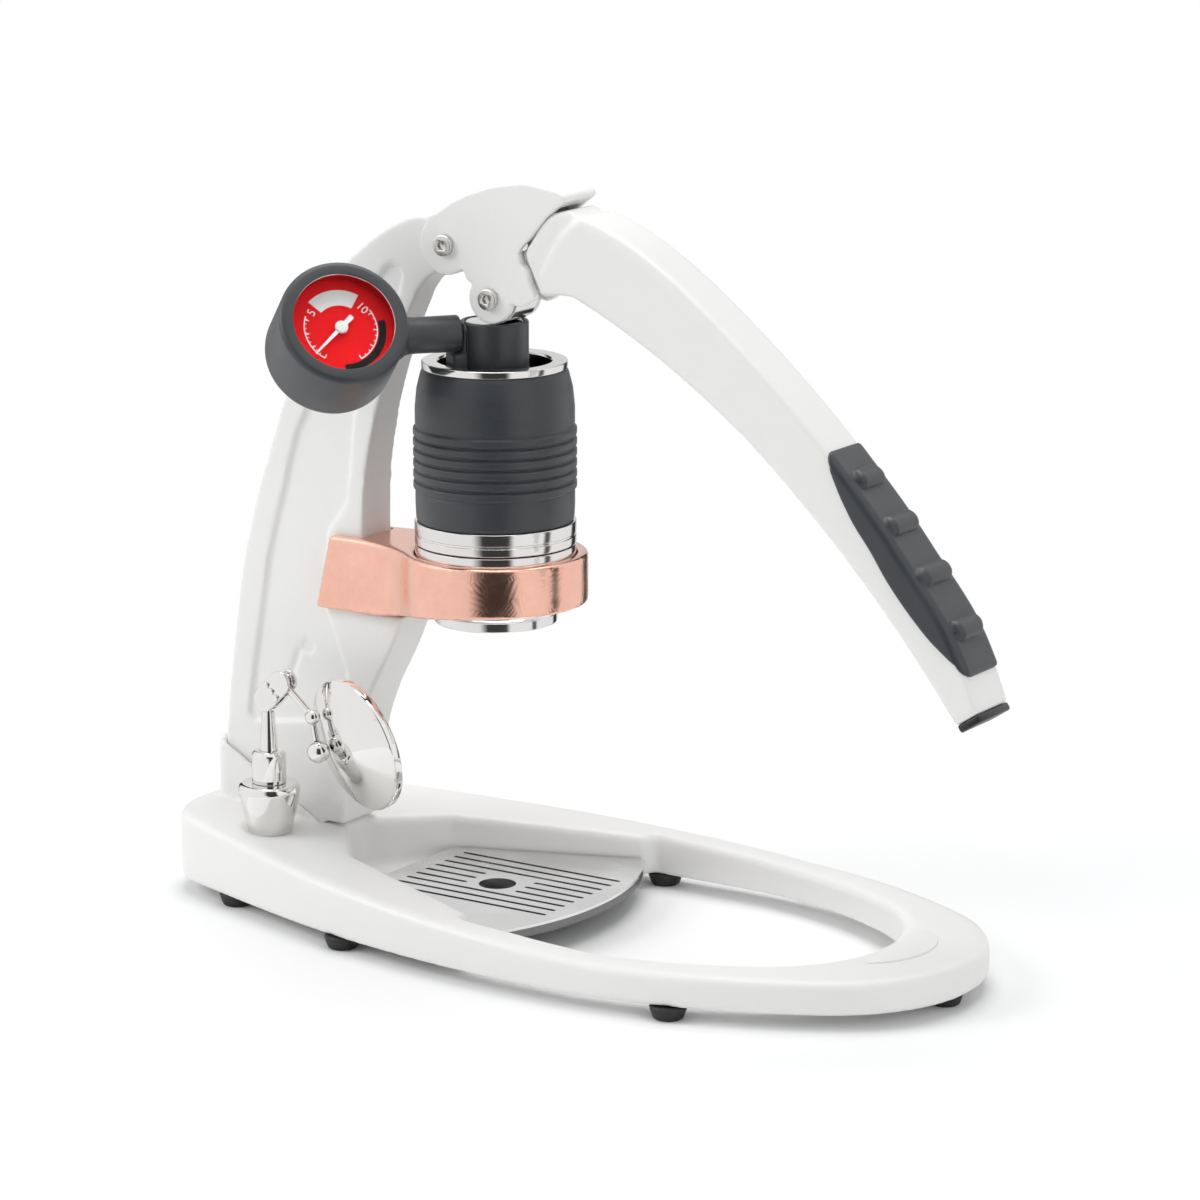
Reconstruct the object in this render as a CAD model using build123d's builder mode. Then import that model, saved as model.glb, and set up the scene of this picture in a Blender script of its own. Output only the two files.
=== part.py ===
from build123d import *
from math import atan2, cos, degrees, radians, sin, sqrt
import os

# Hand lever espresso press, modelled in millimetres with +Z up.
# +X is the front, where the lever ends, and the frame is symmetric about Y = 0.
# The brew axis is the upright line through the brew head, and most places are measured from it.

# Overall layout
brew_x = -40.1
base_front = 200.0
base_rear = 128.0
base_half_width = 78.0
ring_width = 14.0
pivot_back = 14.5
pivot_height = 253.0
press_pin_ahead = 5.0
press_pin_drop = 18.0
press_pin_height = pivot_height - press_pin_drop
overrun = 10.0

# Fits and gaps
running_gap = 0.05
seat_gap = 0.1
loose_gap = 0.3

# Base casting
foot_height = 5.0
foot_radius = 7.0
foot_stub_radius = 3.0
foot_stub_length = 4.0
base_nose_radius = 57.0
widest_x = 65.0
flank_radius = 420.0
flank_turn = 18.0
tail_radius = 26.0
nose_top = 17.5
rise_start = 92.0
rear_top = 25.4
tail_top = 32.8
top_bend_radius = 150.0
opening_front = 165.0
opening_half_width = base_half_width - ring_width
opening_nose_radius = 50.0
opening_rear = 65.0
opening_corner_radius = 2.2
base_edge_radius = 3.5
base_foot_edge_radius = 1.2
floor_thickness = 3.0
floor_front = 12.0
socket_wall = 2.6
socket_rear_height = 55.6
socket_front_height = 29.0
socket_front = 74.0
socket_corner_radius = 4.0
pad_inner = 168.0
pad_outer = 183.0
pad_half_length = 25.0
pad_depth = 0.6
pad_rise = 0.5
stand_seat_radius = 10.0
stand_sink = 0.3

# Post casting
post_top_half = 6.2
post_knee_drop = 15.0
post_knee_height = pivot_height - post_knee_drop
post_bracket_half = 9.4
post_bracket_drop = 108.0
post_bracket_height = pivot_height - post_bracket_drop
post_foot_half = 11.2
post_foot_height = 13.0
post_boss_radius = 10.8
boss_from = 105.0
boss_sweep = 215.0
post_foot_back = 118.4
post_foot_ahead = 72.0
post_toe_height = 28.3
post_front = 53.5
post_shelf_front = 35.5
post_edge_radius = 2.0
pocket_depth = 1.6
keyhole_radius = 3.4
keyhole_leg_half = 1.5
keyhole_leg = 22.0
keyhole_lean = 20.0
keyhole_back = 80.0
keyhole_height = 95.0
post_bolt_radius = 3.0
post_bolt_head_radius = 5.0
post_bolt_head = 5.0
post_bolt_length = 30.0
post_bolt_pitch = 24.0
post_bolt_back = 84.0

# Portafilter bracket
ring_bottom_drop = 131.2
ring_bottom = pivot_height - ring_bottom_drop
ring_top_drop = 112.7
ring_top = pivot_height - ring_top_drop
ring_outer_radius = 34.0
ring_bore_radius = 29.9
ring_lip_radius = 25.8
ring_lip_thickness = 5.0
wing_bottom_drop = 141.0
wing_bottom = pivot_height - wing_bottom_drop
wing_sweep = 60.0
wing_rear_top = 66.0
wing_rear_bottom = 72.5
wing_half_width = 13.6
bracket_edge_radius = 1.6
bracket_screw_radius = 2.5
bracket_screw_head_radius = 4.2
bracket_screw_head = 4.5
bracket_screw_thread = 9.0
bracket_screw_grip = 18.0
bracket_screw_pitch = 14.0
bracket_screw_drop = 133.0
bracket_screw_height = pivot_height - bracket_screw_drop
hex_depth = 2.4
hex_radius = 1.7

# Brew head
rim_top_drop = 42.0
rim_top = pivot_height - rim_top_drop
rim_thickness = 2.6
rim_radius = 26.7
barrel_radius = 25.2
bore_radius = 20.7
band_radius = 29.7
band_top_drop = 101.0
band_top = pivot_height - band_top_drop
cylinder_bottom_drop = 109.4
cylinder_bottom = pivot_height - cylinder_bottom_drop
chamber_drop = 104.0
chamber_height = pivot_height - chamber_drop
sleeve_radius = 29.2
sleeve_neck_radius = 26.4
sleeve_bend = 70.0
rib_wire = 1.3
rib_count = 6
rib_pitch = 3.95
rib_rise = 0.9
rib_lowest_drop = 87.6
rib_lowest = pivot_height - rib_lowest_drop
portafilter_rim_radius = 29.6
portafilter_waist_radius = 25.2
portafilter_waist_bottom_drop = 134.4
portafilter_waist_bottom = pivot_height - portafilter_waist_bottom_drop
portafilter_foot_radius = 22.7
portafilter_bottom_drop = 139.0
portafilter_bottom = pivot_height - portafilter_bottom_drop
portafilter_top_drop = 109.8
portafilter_top = pivot_height - portafilter_top_drop
portafilter_bore_radius = 21.4
basket_radius = 21.2
basket_wall = 0.8
basket_flange_radius = 23.6
basket_flange = 1.4
basket_depth = 24.0
basket_hole_radius = 0.7
basket_hole_ring_count = 4
holes_per_ring = 6
gasket_thickness = 1.8
screen_thickness = 1.2
screen_hole_radius = 0.8

# Plunger
piston_bottom_drop = 105.8
piston_bottom = pivot_height - piston_bottom_drop
piston_height = 15.0
seal_wire = 2.6
seal_inset = 3.2
stem_radius = 6.0
stem_shoulder_radius = 9.5
stem_seat = 6.0
stem_shoulder_drop = 66.0
stem_shoulder_height = pivot_height - stem_shoulder_drop
stem_shoulder_thickness = 3.0
stem_top_drop = 27.55
stem_top = pivot_height - stem_top_drop
cap_radius = 10.8
cap_thickness = 4.0
collar_radius = 12.5
collar_bottom_drop = 62.7
collar_bottom = pivot_height - collar_bottom_drop
collar_top_drop = 27.4
collar_top = pivot_height - collar_top_drop

# Gauge and its pipe
pipe_drop = 31.7
pipe_height = pivot_height - pipe_drop
pipe_turn = 50.0
gauge_tilt = 33.0
gauge_reach = 59.2
gauge_front = 16.5
boot_radius = 23.6
boot_depth = 33.0
boot_lip_radius = 19.9
boot_lip = 2.0
boot_back = 2.6
boot_edge_radius = 4.0
boot_arm_radius = 6.75
boot_arm_start = 13.4
case_radius = 21.4
case_wall = 1.0
bezel_lip = 1.0
lens_thickness = 2.4
dial_radius = 19.4
dial_thickness = 0.6
dial_drop = 7.0
needle_angle = 222.0
needle_length = 15.0
needle_tail = 6.0
needle_half_width = 1.0
needle_thickness = 0.5
needle_hub_radius = 2.4
needle_lift = 1.0
spindle_radius = 0.8
movement_half = 8.0
movement_drop = 1.8
spindle_length = 8.0
bourdon_wire = 2.0
bourdon_bend_radius = 14.0
bourdon_from = 60.0
bourdon_sweep = 250.0
pipe_radius = 3.2
pipe_bore_radius = 1.6
elbow_half_width = 6.0
elbow_reach = 17.0
elbow_bottom_drop = 50.0
elbow_bottom = pivot_height - elbow_bottom_drop

# Lever head
head_half_width = 10.5
head_length = 53.5
head_rise = 25.0
plate_gap_half = 6.55
head_ear_radius = 11.0
head_lobe_radius = 9.0
pin_radius = 3.0
pin_head_radius = 4.0
pin_head = 2.2
bush_wall = 1.5
roller_radius = 9.5

# Lever arm
arm_half_width = 11.6
neck_half_width = 9.6
arm_edge_radius = 4.0
arm_reach = 207.0
tongue_half_width = 6.5
end_cap_thickness = 3.0
end_cap_inset = 0.6
grip_proud = 0.9
grip_rib_radius = 4.0
grip_rib_rise = 1.8
grip_rib_half = 9.5
dowel_radius = 2.0
dowel_half = 9.0

# Drip tray and grate
grate_top = 12.6
grate_thickness = 1.0
grate_rear = 42.0
grate_rear_half = 31.0
grate_corner = 29.0
grate_side_inset = 7.0
grate_corner_half = opening_half_width - grate_side_inset
grate_front = 45.5
grate_hole_radius = 7.0
slot_half_width = 0.9
slot_pitch = 6.25
slot_reach = 35.5
slot_centre = 1.5
slot_shift = 2.0
slot_hole_gap = 4.0
slot_row_count = 9
tray_wall = 1.0
tray_floor = 1.0
tray_clearance = 0.6

# Shot mirror stand
stand_back = 82.6
stand_side = 30.5
weight_base_radius = 8.4
weight_top_radius = 11.8
weight_height = 19.0
weight_edge_radius = 2.0
mirror_collar_radius = 6.5
mirror_collar_height = 12.5
mirror_spigot_radius = 3.0
mirror_spigot_length = 8.0
mirror_stem_foot_radius = 3.4
mirror_stem_top_radius = 2.3
mirror_stem_length = 15.0
ball_radius = 2.9
ball_spacing = 10.0
clamp_half_width = 4.6
clamp_plate = 1.5
clamp_half_gap = 1.5
clamp_screw_radius = 0.8
clamp_screw_head_radius = 1.3
clamp_screw_head = 0.7
mirror_rod_radius = 1.4
mirror_rod_run = 13.5
mirror_rod_fall = 11.5
link_radius = 1.3
link_run = 2.5
link_fall = 13.0
knob_radius = 4.3
mirror_radius = 26.0
mirror_rim = 3.4
mirror_dome = 4.5
mirror_wall = 1.2
glass_thickness = 1.4
mirror_ahead = 15.9
mirror_side = 5.4
mirror_lift = 4.7
mirror_facing = (0.338, 0.914, 0.226)
ball_rise = 5.0


grip_line_shares = (
    (0.952, 0.5),
    (0.906, 0.527),
    (0.863, 0.562),
    (0.826, 0.599),
    (0.791, 0.64),
    (0.757, 0.677),
    (0.725, 0.723),
    (0.706, 0.765),
)


def side_plane(y=0.0):
    # Upright plane along X, with its normal towards -Y and its origin on the brew axis at the ground
    return Plane(origin=(brew_x, y, 0), x_dir=(1, 0, 0), z_dir=(0, -1, 0))


def level(height, ahead=0.0, side=0.0):
    # Level plane at a height, with its origin ahead of the brew axis
    return Plane(origin=(brew_x + ahead, side, height), x_dir=(1, 0, 0), z_dir=(0, 0, 1))


def front_plane(ahead=0.0):
    # Upright plane along Y, with its normal towards +X
    return Plane(origin=(brew_x + ahead, 0, 0), x_dir=(0, 1, 0), z_dir=(1, 0, 0))


def scaled(shares, x_size, y_size):
    # Points from shares of two sizes
    return [(x_share * x_size, y_share * y_size) for x_share, y_share in shares]


def save(part, label):
    part.label = label
    export_step(part, "parts/" + label + ".step")


os.makedirs("parts", exist_ok=True)

# Base casting: an egg-shaped ring whose top rises towards the tail, with a floor under the tray
def nose_line(front, half_width, nose_radius):
    # Nose arc and the longer side arc that carries it on to the widest place
    run = front - nose_radius - widest_x
    turn = 90 - 2 * degrees(atan2(half_width - nose_radius, run))
    nose = CenterArc((front - nose_radius, 0), nose_radius, 0, turn)
    side_radius = nose_radius + run / cos(radians(turn))
    return JernArc(nose @ 1, nose % 1, side_radius, 90 - turn)


with BuildSketch(Plane.XY) as base_outline:
    with BuildLine():
        side = nose_line(base_front, base_half_width, base_nose_radius)
        flank = JernArc(side @ 1, side % 1, flank_radius, flank_turn)
        tail_start = -base_rear + tail_radius * (1 - sin(radians(flank_turn)))
        straight = PolarLine(
            flank @ 1,
            ((flank @ 1).X - tail_start) / cos(radians(flank_turn)),
            direction=flank % 1,
        )
        tail = JernArc(straight @ 1, straight % 1, tail_radius, 90 - flank_turn)
        Line(tail @ 1, (-base_rear, 0))
        mirror(about=Plane.XZ)
    make_face()

step_point = (grate_corner - tray_clearance, grate_corner_half + 2 * tray_clearance)
with BuildSketch(Plane.XY) as base_opening:
    with BuildLine():
        side = nose_line(opening_front, opening_half_width, opening_nose_radius)
        Polyline(
            side @ 1,
            (step_point[0], opening_half_width),
            step_point,
            (-grate_rear - tray_clearance, grate_rear_half + 2 * tray_clearance),
            (-opening_rear + post_foot_half / 2, post_foot_half),
            (-opening_rear, post_foot_half / 2),
            (-opening_rear, 0),
        )
        mirror(about=Plane.XZ)
    make_face()
    corners = [v for v in base_opening.vertices() if abs(v.Y) > running_gap and v.X < widest_x - overrun]
    fillet(corners, opening_corner_radius)

with BuildPart() as base_casting:
    with BuildSketch(level(foot_height)):
        add(base_outline.sketch)
        add(base_opening.sketch, mode=Mode.SUBTRACT)
    extrude(amount=tail_top)
    with BuildSketch(side_plane(base_half_width + overrun)):
        with BuildLine():
            top_line = FilletPolyline(
                (base_front + overrun, nose_top),
                (rise_start, nose_top),
                (-grate_rear, rear_top),
                (-base_rear - overrun, tail_top),
                radius=top_bend_radius,
            )
            Polyline(
                top_line @ 1,
                (-base_rear - overrun, 0),
                (base_front + overrun, 0),
                top_line @ 0,
            )
        make_face()
    extrude(amount=2 * (base_half_width + overrun), mode=Mode.INTERSECT)
    upper_edges = [e for e in base_casting.edges() if e.bounding_box().min.Z > foot_height + base_edge_radius]
    crossing_edges = base_casting.edges().filter_by(Axis.Y)
    rear_limit = brew_x - opening_rear + overrun / 2
    rounded_edges = [e for e in upper_edges if e not in crossing_edges or e.center().X < rear_limit]
    fillet(rounded_edges, base_edge_radius)
    lower_edges = base_casting.faces().sort_by(Axis.Z)[0].outer_wire().edges()
    fillet(lower_edges, base_foot_edge_radius)

    # Floor under the tray
    with BuildSketch(level(foot_height)):
        add(base_opening.sketch)
        with Locations((floor_front - opening_rear, 0)):
            Rectangle(2 * opening_rear, 2 * base_half_width, mode=Mode.INTERSECT)
    extrude(amount=floor_thickness)

    # Socket that stands round the foot of the post
    socket_back = post_foot_back + seat_gap + socket_wall
    with BuildSketch(side_plane(post_foot_half + seat_gap + socket_wall)):
        with BuildLine():
            Polyline(
                (-socket_back, foot_height + socket_wall),
                (-socket_back, socket_rear_height),
                (-socket_front, socket_front_height),
                (-socket_front, foot_height + socket_wall),
                close=True,
            )
        make_face()
    extrude(amount=2 * (post_foot_half + seat_gap + socket_wall))
    socket_corners = base_casting.edges().filter_by(Axis.Z).filter_by(
        lambda e: e.center().Z > post_toe_height and e.center().X < brew_x - post_foot_back
    )
    fillet(socket_corners, socket_corner_radius)
    with BuildSketch(level(post_foot_height)):
        with Locations((-(post_foot_back + post_foot_ahead) / 2, 0)):
            Rectangle(
                post_foot_back - post_foot_ahead + 2 * seat_gap,
                2 * (post_foot_half + seat_gap),
            )
    extrude(amount=socket_rear_height, mode=Mode.SUBTRACT)

    # Bolt holes from below
    bolt_places = [(-post_bolt_back - row * post_bolt_pitch, 0) for row in (0, 1)]
    with BuildSketch(level(foot_height)):
        with Locations(*bolt_places):
            Circle(post_bolt_radius + seat_gap)
    extrude(amount=post_foot_height - foot_height, mode=Mode.SUBTRACT)
    with BuildSketch(level(foot_height)):
        with Locations(*bolt_places):
            Circle(post_bolt_head_radius + seat_gap)
    extrude(amount=post_bolt_head + running_gap, mode=Mode.SUBTRACT)

    # Seats for the feet, the nose pad and the mirror stand
    foot_shares = (
        (0.585, -0.85),
        (0.95, 0.0),
        (0.15, 0.9),
        (-0.13, -0.8),
        (-0.455, -0.52),
        (-0.455, 0.52),
    )
    foot_places = scaled(foot_shares, base_front, base_half_width)
    with BuildSketch(level(foot_height)):
        with Locations(*foot_places):
            Circle(foot_stub_radius + running_gap)
    extrude(amount=foot_stub_length + running_gap, mode=Mode.SUBTRACT)
    with BuildSketch(level(nose_top - pad_depth)) as pad_outline:
        with BuildLine():
            pad_front = ThreePointArc(
                (pad_inner, pad_half_length),
                (pad_outer, 0),
                (pad_inner, -pad_half_length),
            )
            Line(pad_front @ 1, pad_front @ 0)
        make_face()
        fillet(pad_outline.vertices(), foot_stub_radius)
    extrude(amount=overrun, mode=Mode.SUBTRACT)
    stand_level = rear_top + (stand_back - stand_seat_radius - grate_rear) * (
        (tail_top - rear_top) / (base_rear + overrun - grate_rear)
    ) - stand_sink
    with BuildSketch(level(stand_level, -stand_back, -stand_side)):
        Circle(stand_seat_radius)
    extrude(amount=overrun, mode=Mode.SUBTRACT)

save(base_casting.part, "base_casting")

# Rubber feet: a stub is pressed up into the casting above a tapered pad
with BuildPart() as rubber_feet:
    for place in foot_places:
        with BuildSketch(level(0, *place)):
            Circle(foot_radius - foot_height / 3)
        with BuildSketch(level(foot_height, *place)):
            Circle(foot_radius)
        loft()
        with BuildSketch(level(foot_height, *place)):
            Circle(foot_stub_radius)
        extrude(amount=foot_stub_length)

save(rubber_feet.part, "rubber_feet")

# Nose pad, a thin crescent plate let into the top of the ring
with BuildPart() as nose_pad:
    with BuildSketch(level(nose_top - pad_depth)):
        with BuildLine():
            pad_front = ThreePointArc(
                (pad_inner + seat_gap, pad_half_length - 2 * seat_gap),
                (pad_outer - seat_gap, 0),
                (pad_inner + seat_gap, -pad_half_length + 2 * seat_gap),
            )
            Line(pad_front @ 1, pad_front @ 0)
        pad_face = make_face()
        fillet(pad_face.vertices(), foot_stub_radius)
    extrude(amount=pad_depth + pad_rise)
    fillet(nose_pad.faces().sort_by(Axis.Z)[-1].edges(), pad_rise - seat_gap)

save(nose_pad.part, "nose_pad")

# Post casting: a curved web with a boss for the lever pivot, a shelf for the bracket and a foot
post_rear_shares = (
    (0.925, 0.12),
    (0.921, 0.22),
    (0.9, 0.33),
    (0.828, 0.545),
    (0.718, 0.723),
    (0.492, 0.953),
    (0.36, 1.007),
    (0.232, 1.036),
)
post_front_shares = ((0.2, 0.943), (0.255, 0.901), (0.336, 0.802), (0.387, 0.711))
post_toe_shares = ((0.36, 0.79), (0.425, 0.63), (0.46, 0.46), (0.487, 0.28))
pivot = (-pivot_back, pivot_height)
boss_start = (
    -pivot_back + post_boss_radius * cos(radians(boss_from)),
    pivot_height + post_boss_radius * sin(radians(boss_from)),
)


def post_widths(gap):
    # Half outline of the post seen from the front, wide at the foot and narrow at the boss
    return [
        (0, 0),
        (post_foot_half + gap, 0),
        (post_foot_half + gap, post_toe_height),
        (post_bracket_half + gap, post_bracket_height),
        (post_top_half + gap, post_knee_height),
        (post_top_half + gap, pivot_height + 2 * post_boss_radius),
        (0, pivot_height + 2 * post_boss_radius),
    ]


with BuildPart() as post_core:
    with BuildSketch(front_plane(-base_rear - overrun)):
        with BuildLine():
            Polyline(*post_widths(-pocket_depth), close=True)
        make_face()
        mirror(about=Plane.YZ)
    extrude(amount=base_rear + 2 * overrun)

with BuildPart() as post_pocket:
    with BuildSketch(side_plane(post_foot_half + overrun)) as pocket_sketch:
        with BuildLine():
            pocket_shares = (
                (0.845, 0.245),
                (0.765, 0.5),
                (0.66, 0.7),
                (0.47, 0.88),
                (0.33, 0.965),
                (0.28, 0.955),
                (0.315, 0.89),
                (0.448, 0.745),
                (0.475, 0.6),
                (0.545, 0.555),
                (0.55, 0.44),
                (0.475, 0.345),
                (0.5, 0.27),
            )
            Polyline(*scaled(pocket_shares, -base_rear, pivot_height), close=True)
        make_face()
        fillet(pocket_sketch.vertices(), 2 * post_edge_radius)
    extrude(amount=2 * (post_foot_half + overrun))
    add(post_core.part, mode=Mode.SUBTRACT)

with BuildPart() as post:
    with BuildSketch(side_plane(post_foot_half + overrun)):
        with BuildLine():
            rear_points = scaled(post_rear_shares, -base_rear, pivot_height)
            rear_line = Spline(
                *rear_points,
                boss_start,
                tangents=((0, 1), (sin(radians(boss_from)), -cos(radians(boss_from)))),
            )
            boss = CenterArc(pivot, post_boss_radius, boss_from, -boss_sweep)
            front_points = scaled(post_front_shares, -base_rear, pivot_height)
            front_line = Spline(
                boss @ 1,
                *front_points,
                (-post_front, post_bracket_height),
            )
            shelf = Polyline(
                front_line @ 1,
                (-post_front, wing_bottom - seat_gap),
                (-post_shelf_front, wing_bottom - seat_gap),
            )
            toe_points = scaled(post_toe_shares, -base_rear, wing_bottom)
            toe_line = Spline(
                shelf @ 1,
                *toe_points,
                tangents=((-0.3, -1), (0, -1)),
            )
            Polyline(
                toe_line @ 1,
                (toe_points[-1][0], post_toe_height),
                (-post_foot_ahead, post_toe_height),
                (-post_foot_ahead, post_foot_height),
                (-post_foot_back, post_foot_height),
                (-post_foot_back, rear_points[0][1]),
            )
        make_face()
    extrude(amount=2 * (post_foot_half + overrun))
    with BuildSketch(front_plane(-base_rear - overrun)):
        with BuildLine():
            Polyline(*post_widths(0), close=True)
        make_face()
        mirror(about=Plane.YZ)
    extrude(amount=base_rear + 2 * overrun, mode=Mode.INTERSECT)
    add(post_pocket.part, mode=Mode.SUBTRACT)
    with BuildSketch(side_plane(-post_bracket_half + pocket_depth)):
        with Locations((-keyhole_back, keyhole_height)):
            Circle(keyhole_radius)
        with Locations((-keyhole_back - keyhole_leg / 3, keyhole_height - keyhole_leg / 2)):
            Rectangle(2 * keyhole_leg_half, keyhole_leg, rotation=-keyhole_lean)
    extrude(amount=post_foot_half, mode=Mode.SUBTRACT)
    with BuildSketch(side_plane(post_foot_half)):
        with Locations(pivot):
            Circle(pin_radius + bush_wall + 2 * running_gap)
    extrude(amount=2 * post_foot_half, mode=Mode.SUBTRACT)
    with BuildSketch(level(post_foot_height)):
        with Locations(*bolt_places):
            Circle(post_bolt_radius + running_gap)
    extrude(amount=post_bolt_length - post_foot_height + foot_height + seat_gap, mode=Mode.SUBTRACT)
    screw_places = [(0, bracket_screw_height + row * bracket_screw_pitch) for row in (0, 1)]
    with BuildSketch(front_plane(-post_front)):
        with Locations(*screw_places):
            Circle(bracket_screw_radius + running_gap)
    extrude(amount=-base_rear, mode=Mode.SUBTRACT)
    with BuildSketch(front_plane(-post_front - bracket_screw_grip)):
        with Locations(*screw_places):
            Circle(bracket_screw_head_radius + seat_gap)
    extrude(amount=-base_rear, mode=Mode.SUBTRACT)

save(post.part, "post")

# Bolts that hold the post down
with BuildPart() as post_bolts:
    with BuildSketch(level(foot_height + running_gap)):
        with Locations(*bolt_places):
            Circle(post_bolt_head_radius)
            RegularPolygon(hex_radius + running_gap, 6, mode=Mode.SUBTRACT)
    extrude(amount=post_bolt_head - seat_gap)
    with BuildSketch(level(foot_height + hex_depth)):
        with Locations(*bolt_places):
            Circle(post_bolt_radius)
    extrude(amount=post_bolt_length - hex_depth)

save(post_bolts.part, "post_bolts")

# Bracket: a ring for the portafilter with a wing on each side of the post
bracket_dip_shares = ((-0.7, 1.041), (-0.15, 1.068))
bracket_dip = scaled(bracket_dip_shares, ring_outer_radius, wing_bottom)
with BuildPart() as portafilter_bracket:
    with BuildSketch(level(wing_bottom)) as bracket_plan:
        Circle(ring_outer_radius)
        with Locations((-wing_rear_bottom / 2, 0)):
            Rectangle(wing_rear_bottom, 2 * wing_half_width)
        joins = [v for v in bracket_plan.vertices() if ring_bore_radius < abs(v.X) < ring_outer_radius]
        fillet(joins, wing_sweep)
    extrude(amount=ring_top - wing_bottom)
    with BuildSketch(side_plane(ring_outer_radius + overrun)):
        with BuildLine():
            underside = Spline(
                (-post_front, wing_bottom),
                *bracket_dip,
                (ring_outer_radius, ring_bottom),
                tangents=((1, 0), (1, 0)),
            )
            Polyline(
                underside @ 1,
                (ring_outer_radius + overrun, ring_bottom),
                (ring_outer_radius + overrun, ring_top),
                (-wing_rear_top, ring_top),
                (-wing_rear_bottom, wing_bottom),
                underside @ 0,
            )
        make_face()
    extrude(amount=2 * (ring_outer_radius + overrun), mode=Mode.INTERSECT)
    fillet(portafilter_bracket.faces().sort_by(Axis.Z)[-1].edges(), bracket_edge_radius)
    with BuildSketch(front_plane(-base_rear)):
        with BuildLine():
            Polyline(*post_widths(seat_gap), close=True)
        make_face()
        mirror(about=Plane.YZ)
    extrude(amount=base_rear - post_front + seat_gap, mode=Mode.SUBTRACT)
    with BuildSketch(level(wing_bottom)):
        Circle(ring_lip_radius)
    extrude(amount=ring_top - wing_bottom, mode=Mode.SUBTRACT)
    with BuildSketch(level(ring_bottom + ring_lip_thickness)):
        Circle(ring_bore_radius)
    extrude(amount=ring_top - ring_bottom, mode=Mode.SUBTRACT)
    with BuildSketch(front_plane(-post_front)):
        with Locations(*screw_places):
            Circle(bracket_screw_radius + running_gap)
    extrude(amount=bracket_screw_thread + seat_gap, mode=Mode.SUBTRACT)

save(portafilter_bracket.part, "portafilter_bracket")

with BuildPart() as bracket_screws:
    with BuildSketch(front_plane(-post_front + bracket_screw_thread)):
        with Locations(*screw_places):
            Circle(bracket_screw_radius)
    extrude(amount=-bracket_screw_thread - bracket_screw_grip)
    with BuildSketch(front_plane(-post_front - bracket_screw_grip - running_gap)):
        with Locations(*screw_places):
            Circle(bracket_screw_head_radius)
            RegularPolygon(hex_radius, 6, mode=Mode.SUBTRACT)
    extrude(amount=-bracket_screw_head)
    with BuildSketch(front_plane(-post_front - bracket_screw_grip - bracket_screw_head + hex_depth)):
        with Locations(*screw_places):
            Circle(bracket_screw_head_radius)
    extrude(amount=bracket_screw_head - hex_depth)

save(bracket_screws.part, "bracket_screws")


# Brew head: turned parts round the brew axis
brew_axis = Axis((brew_x, 0, 0), (0, 0, 1))
chamber_radius = basket_flange_radius + loose_gap

with BuildPart() as brew_cylinder:
    with BuildSketch(side_plane()):
        with BuildLine():
            Polyline(
                (bore_radius, chamber_height),
                (chamber_radius, chamber_height),
                (chamber_radius, cylinder_bottom),
                (band_radius, cylinder_bottom),
                (band_radius, band_top),
                (barrel_radius, band_top),
                (barrel_radius, rim_top - rim_thickness),
                (rim_radius, rim_top - rim_thickness),
                (rim_radius, rim_top),
                (rim_radius - rim_thickness, rim_top),
                (bore_radius, rim_top - 2 * rim_thickness),
                close=True,
            )
        make_face()
    revolve(axis=brew_axis)

save(brew_cylinder.part, "brew_cylinder")

with BuildPart() as brew_sleeve:
    with BuildSketch(side_plane()):
        with BuildLine():
            sleeve_top = rim_top - rim_thickness - seat_gap
            Polyline(
                (barrel_radius + seat_gap, sleeve_top),
                (barrel_radius + seat_gap, band_top + seat_gap),
                (sleeve_radius, band_top + seat_gap),
                (sleeve_radius, sleeve_top - 2 * overrun),
            )
            RadiusArc(
                (sleeve_radius, sleeve_top - 2 * overrun),
                (sleeve_neck_radius, sleeve_top),
                -sleeve_bend,
            )
            Line((sleeve_neck_radius, sleeve_top), (barrel_radius + seat_gap, sleeve_top))
        make_face()
        for number in range(rib_count):
            with Locations((sleeve_radius + rib_rise - rib_wire, rib_lowest + number * rib_pitch)):
                Circle(rib_wire)
    revolve(axis=brew_axis)

save(brew_sleeve.part, "brew_sleeve")

with BuildPart() as portafilter_body:
    with BuildSketch(side_plane()):
        with BuildLine():
            seat_height = ring_bottom + ring_lip_thickness + running_gap
            recess_floor = portafilter_top - basket_flange - seat_gap
            Polyline(
                (portafilter_bore_radius, portafilter_bottom),
                (portafilter_foot_radius, portafilter_bottom),
                (portafilter_foot_radius, portafilter_waist_bottom - basket_wall),
                (portafilter_waist_radius, portafilter_waist_bottom + basket_wall),
                (portafilter_waist_radius, seat_height),
                (portafilter_rim_radius, seat_height),
                (portafilter_rim_radius, portafilter_top),
                (chamber_radius, portafilter_top),
                (chamber_radius, recess_floor),
                (portafilter_bore_radius, recess_floor),
                close=True,
            )
        make_face()
    revolve(axis=brew_axis)

save(portafilter_body.part, "portafilter_body")

with BuildPart() as filter_basket:
    flange_bottom = portafilter_top - basket_flange
    basket_bottom = flange_bottom - basket_depth
    with BuildSketch(side_plane()):
        with BuildLine():
            Polyline(
                (0, basket_bottom),
                (basket_radius, basket_bottom),
                (basket_radius, flange_bottom),
                (basket_flange_radius, flange_bottom),
                (basket_flange_radius, portafilter_top),
                (basket_radius - basket_wall, portafilter_top),
                (basket_radius - basket_wall, basket_bottom + basket_wall),
                (0, basket_bottom + basket_wall),
                close=True,
            )
        make_face()
    revolve(axis=brew_axis)
    with BuildSketch(level(basket_bottom)):
        for ring in range(1, basket_hole_ring_count + 1):
            with PolarLocations(ring * basket_radius / (basket_hole_ring_count + 1), holes_per_ring * ring):
                Circle(basket_hole_radius)
    extrude(amount=basket_wall, mode=Mode.SUBTRACT)

save(filter_basket.part, "filter_basket")

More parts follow.
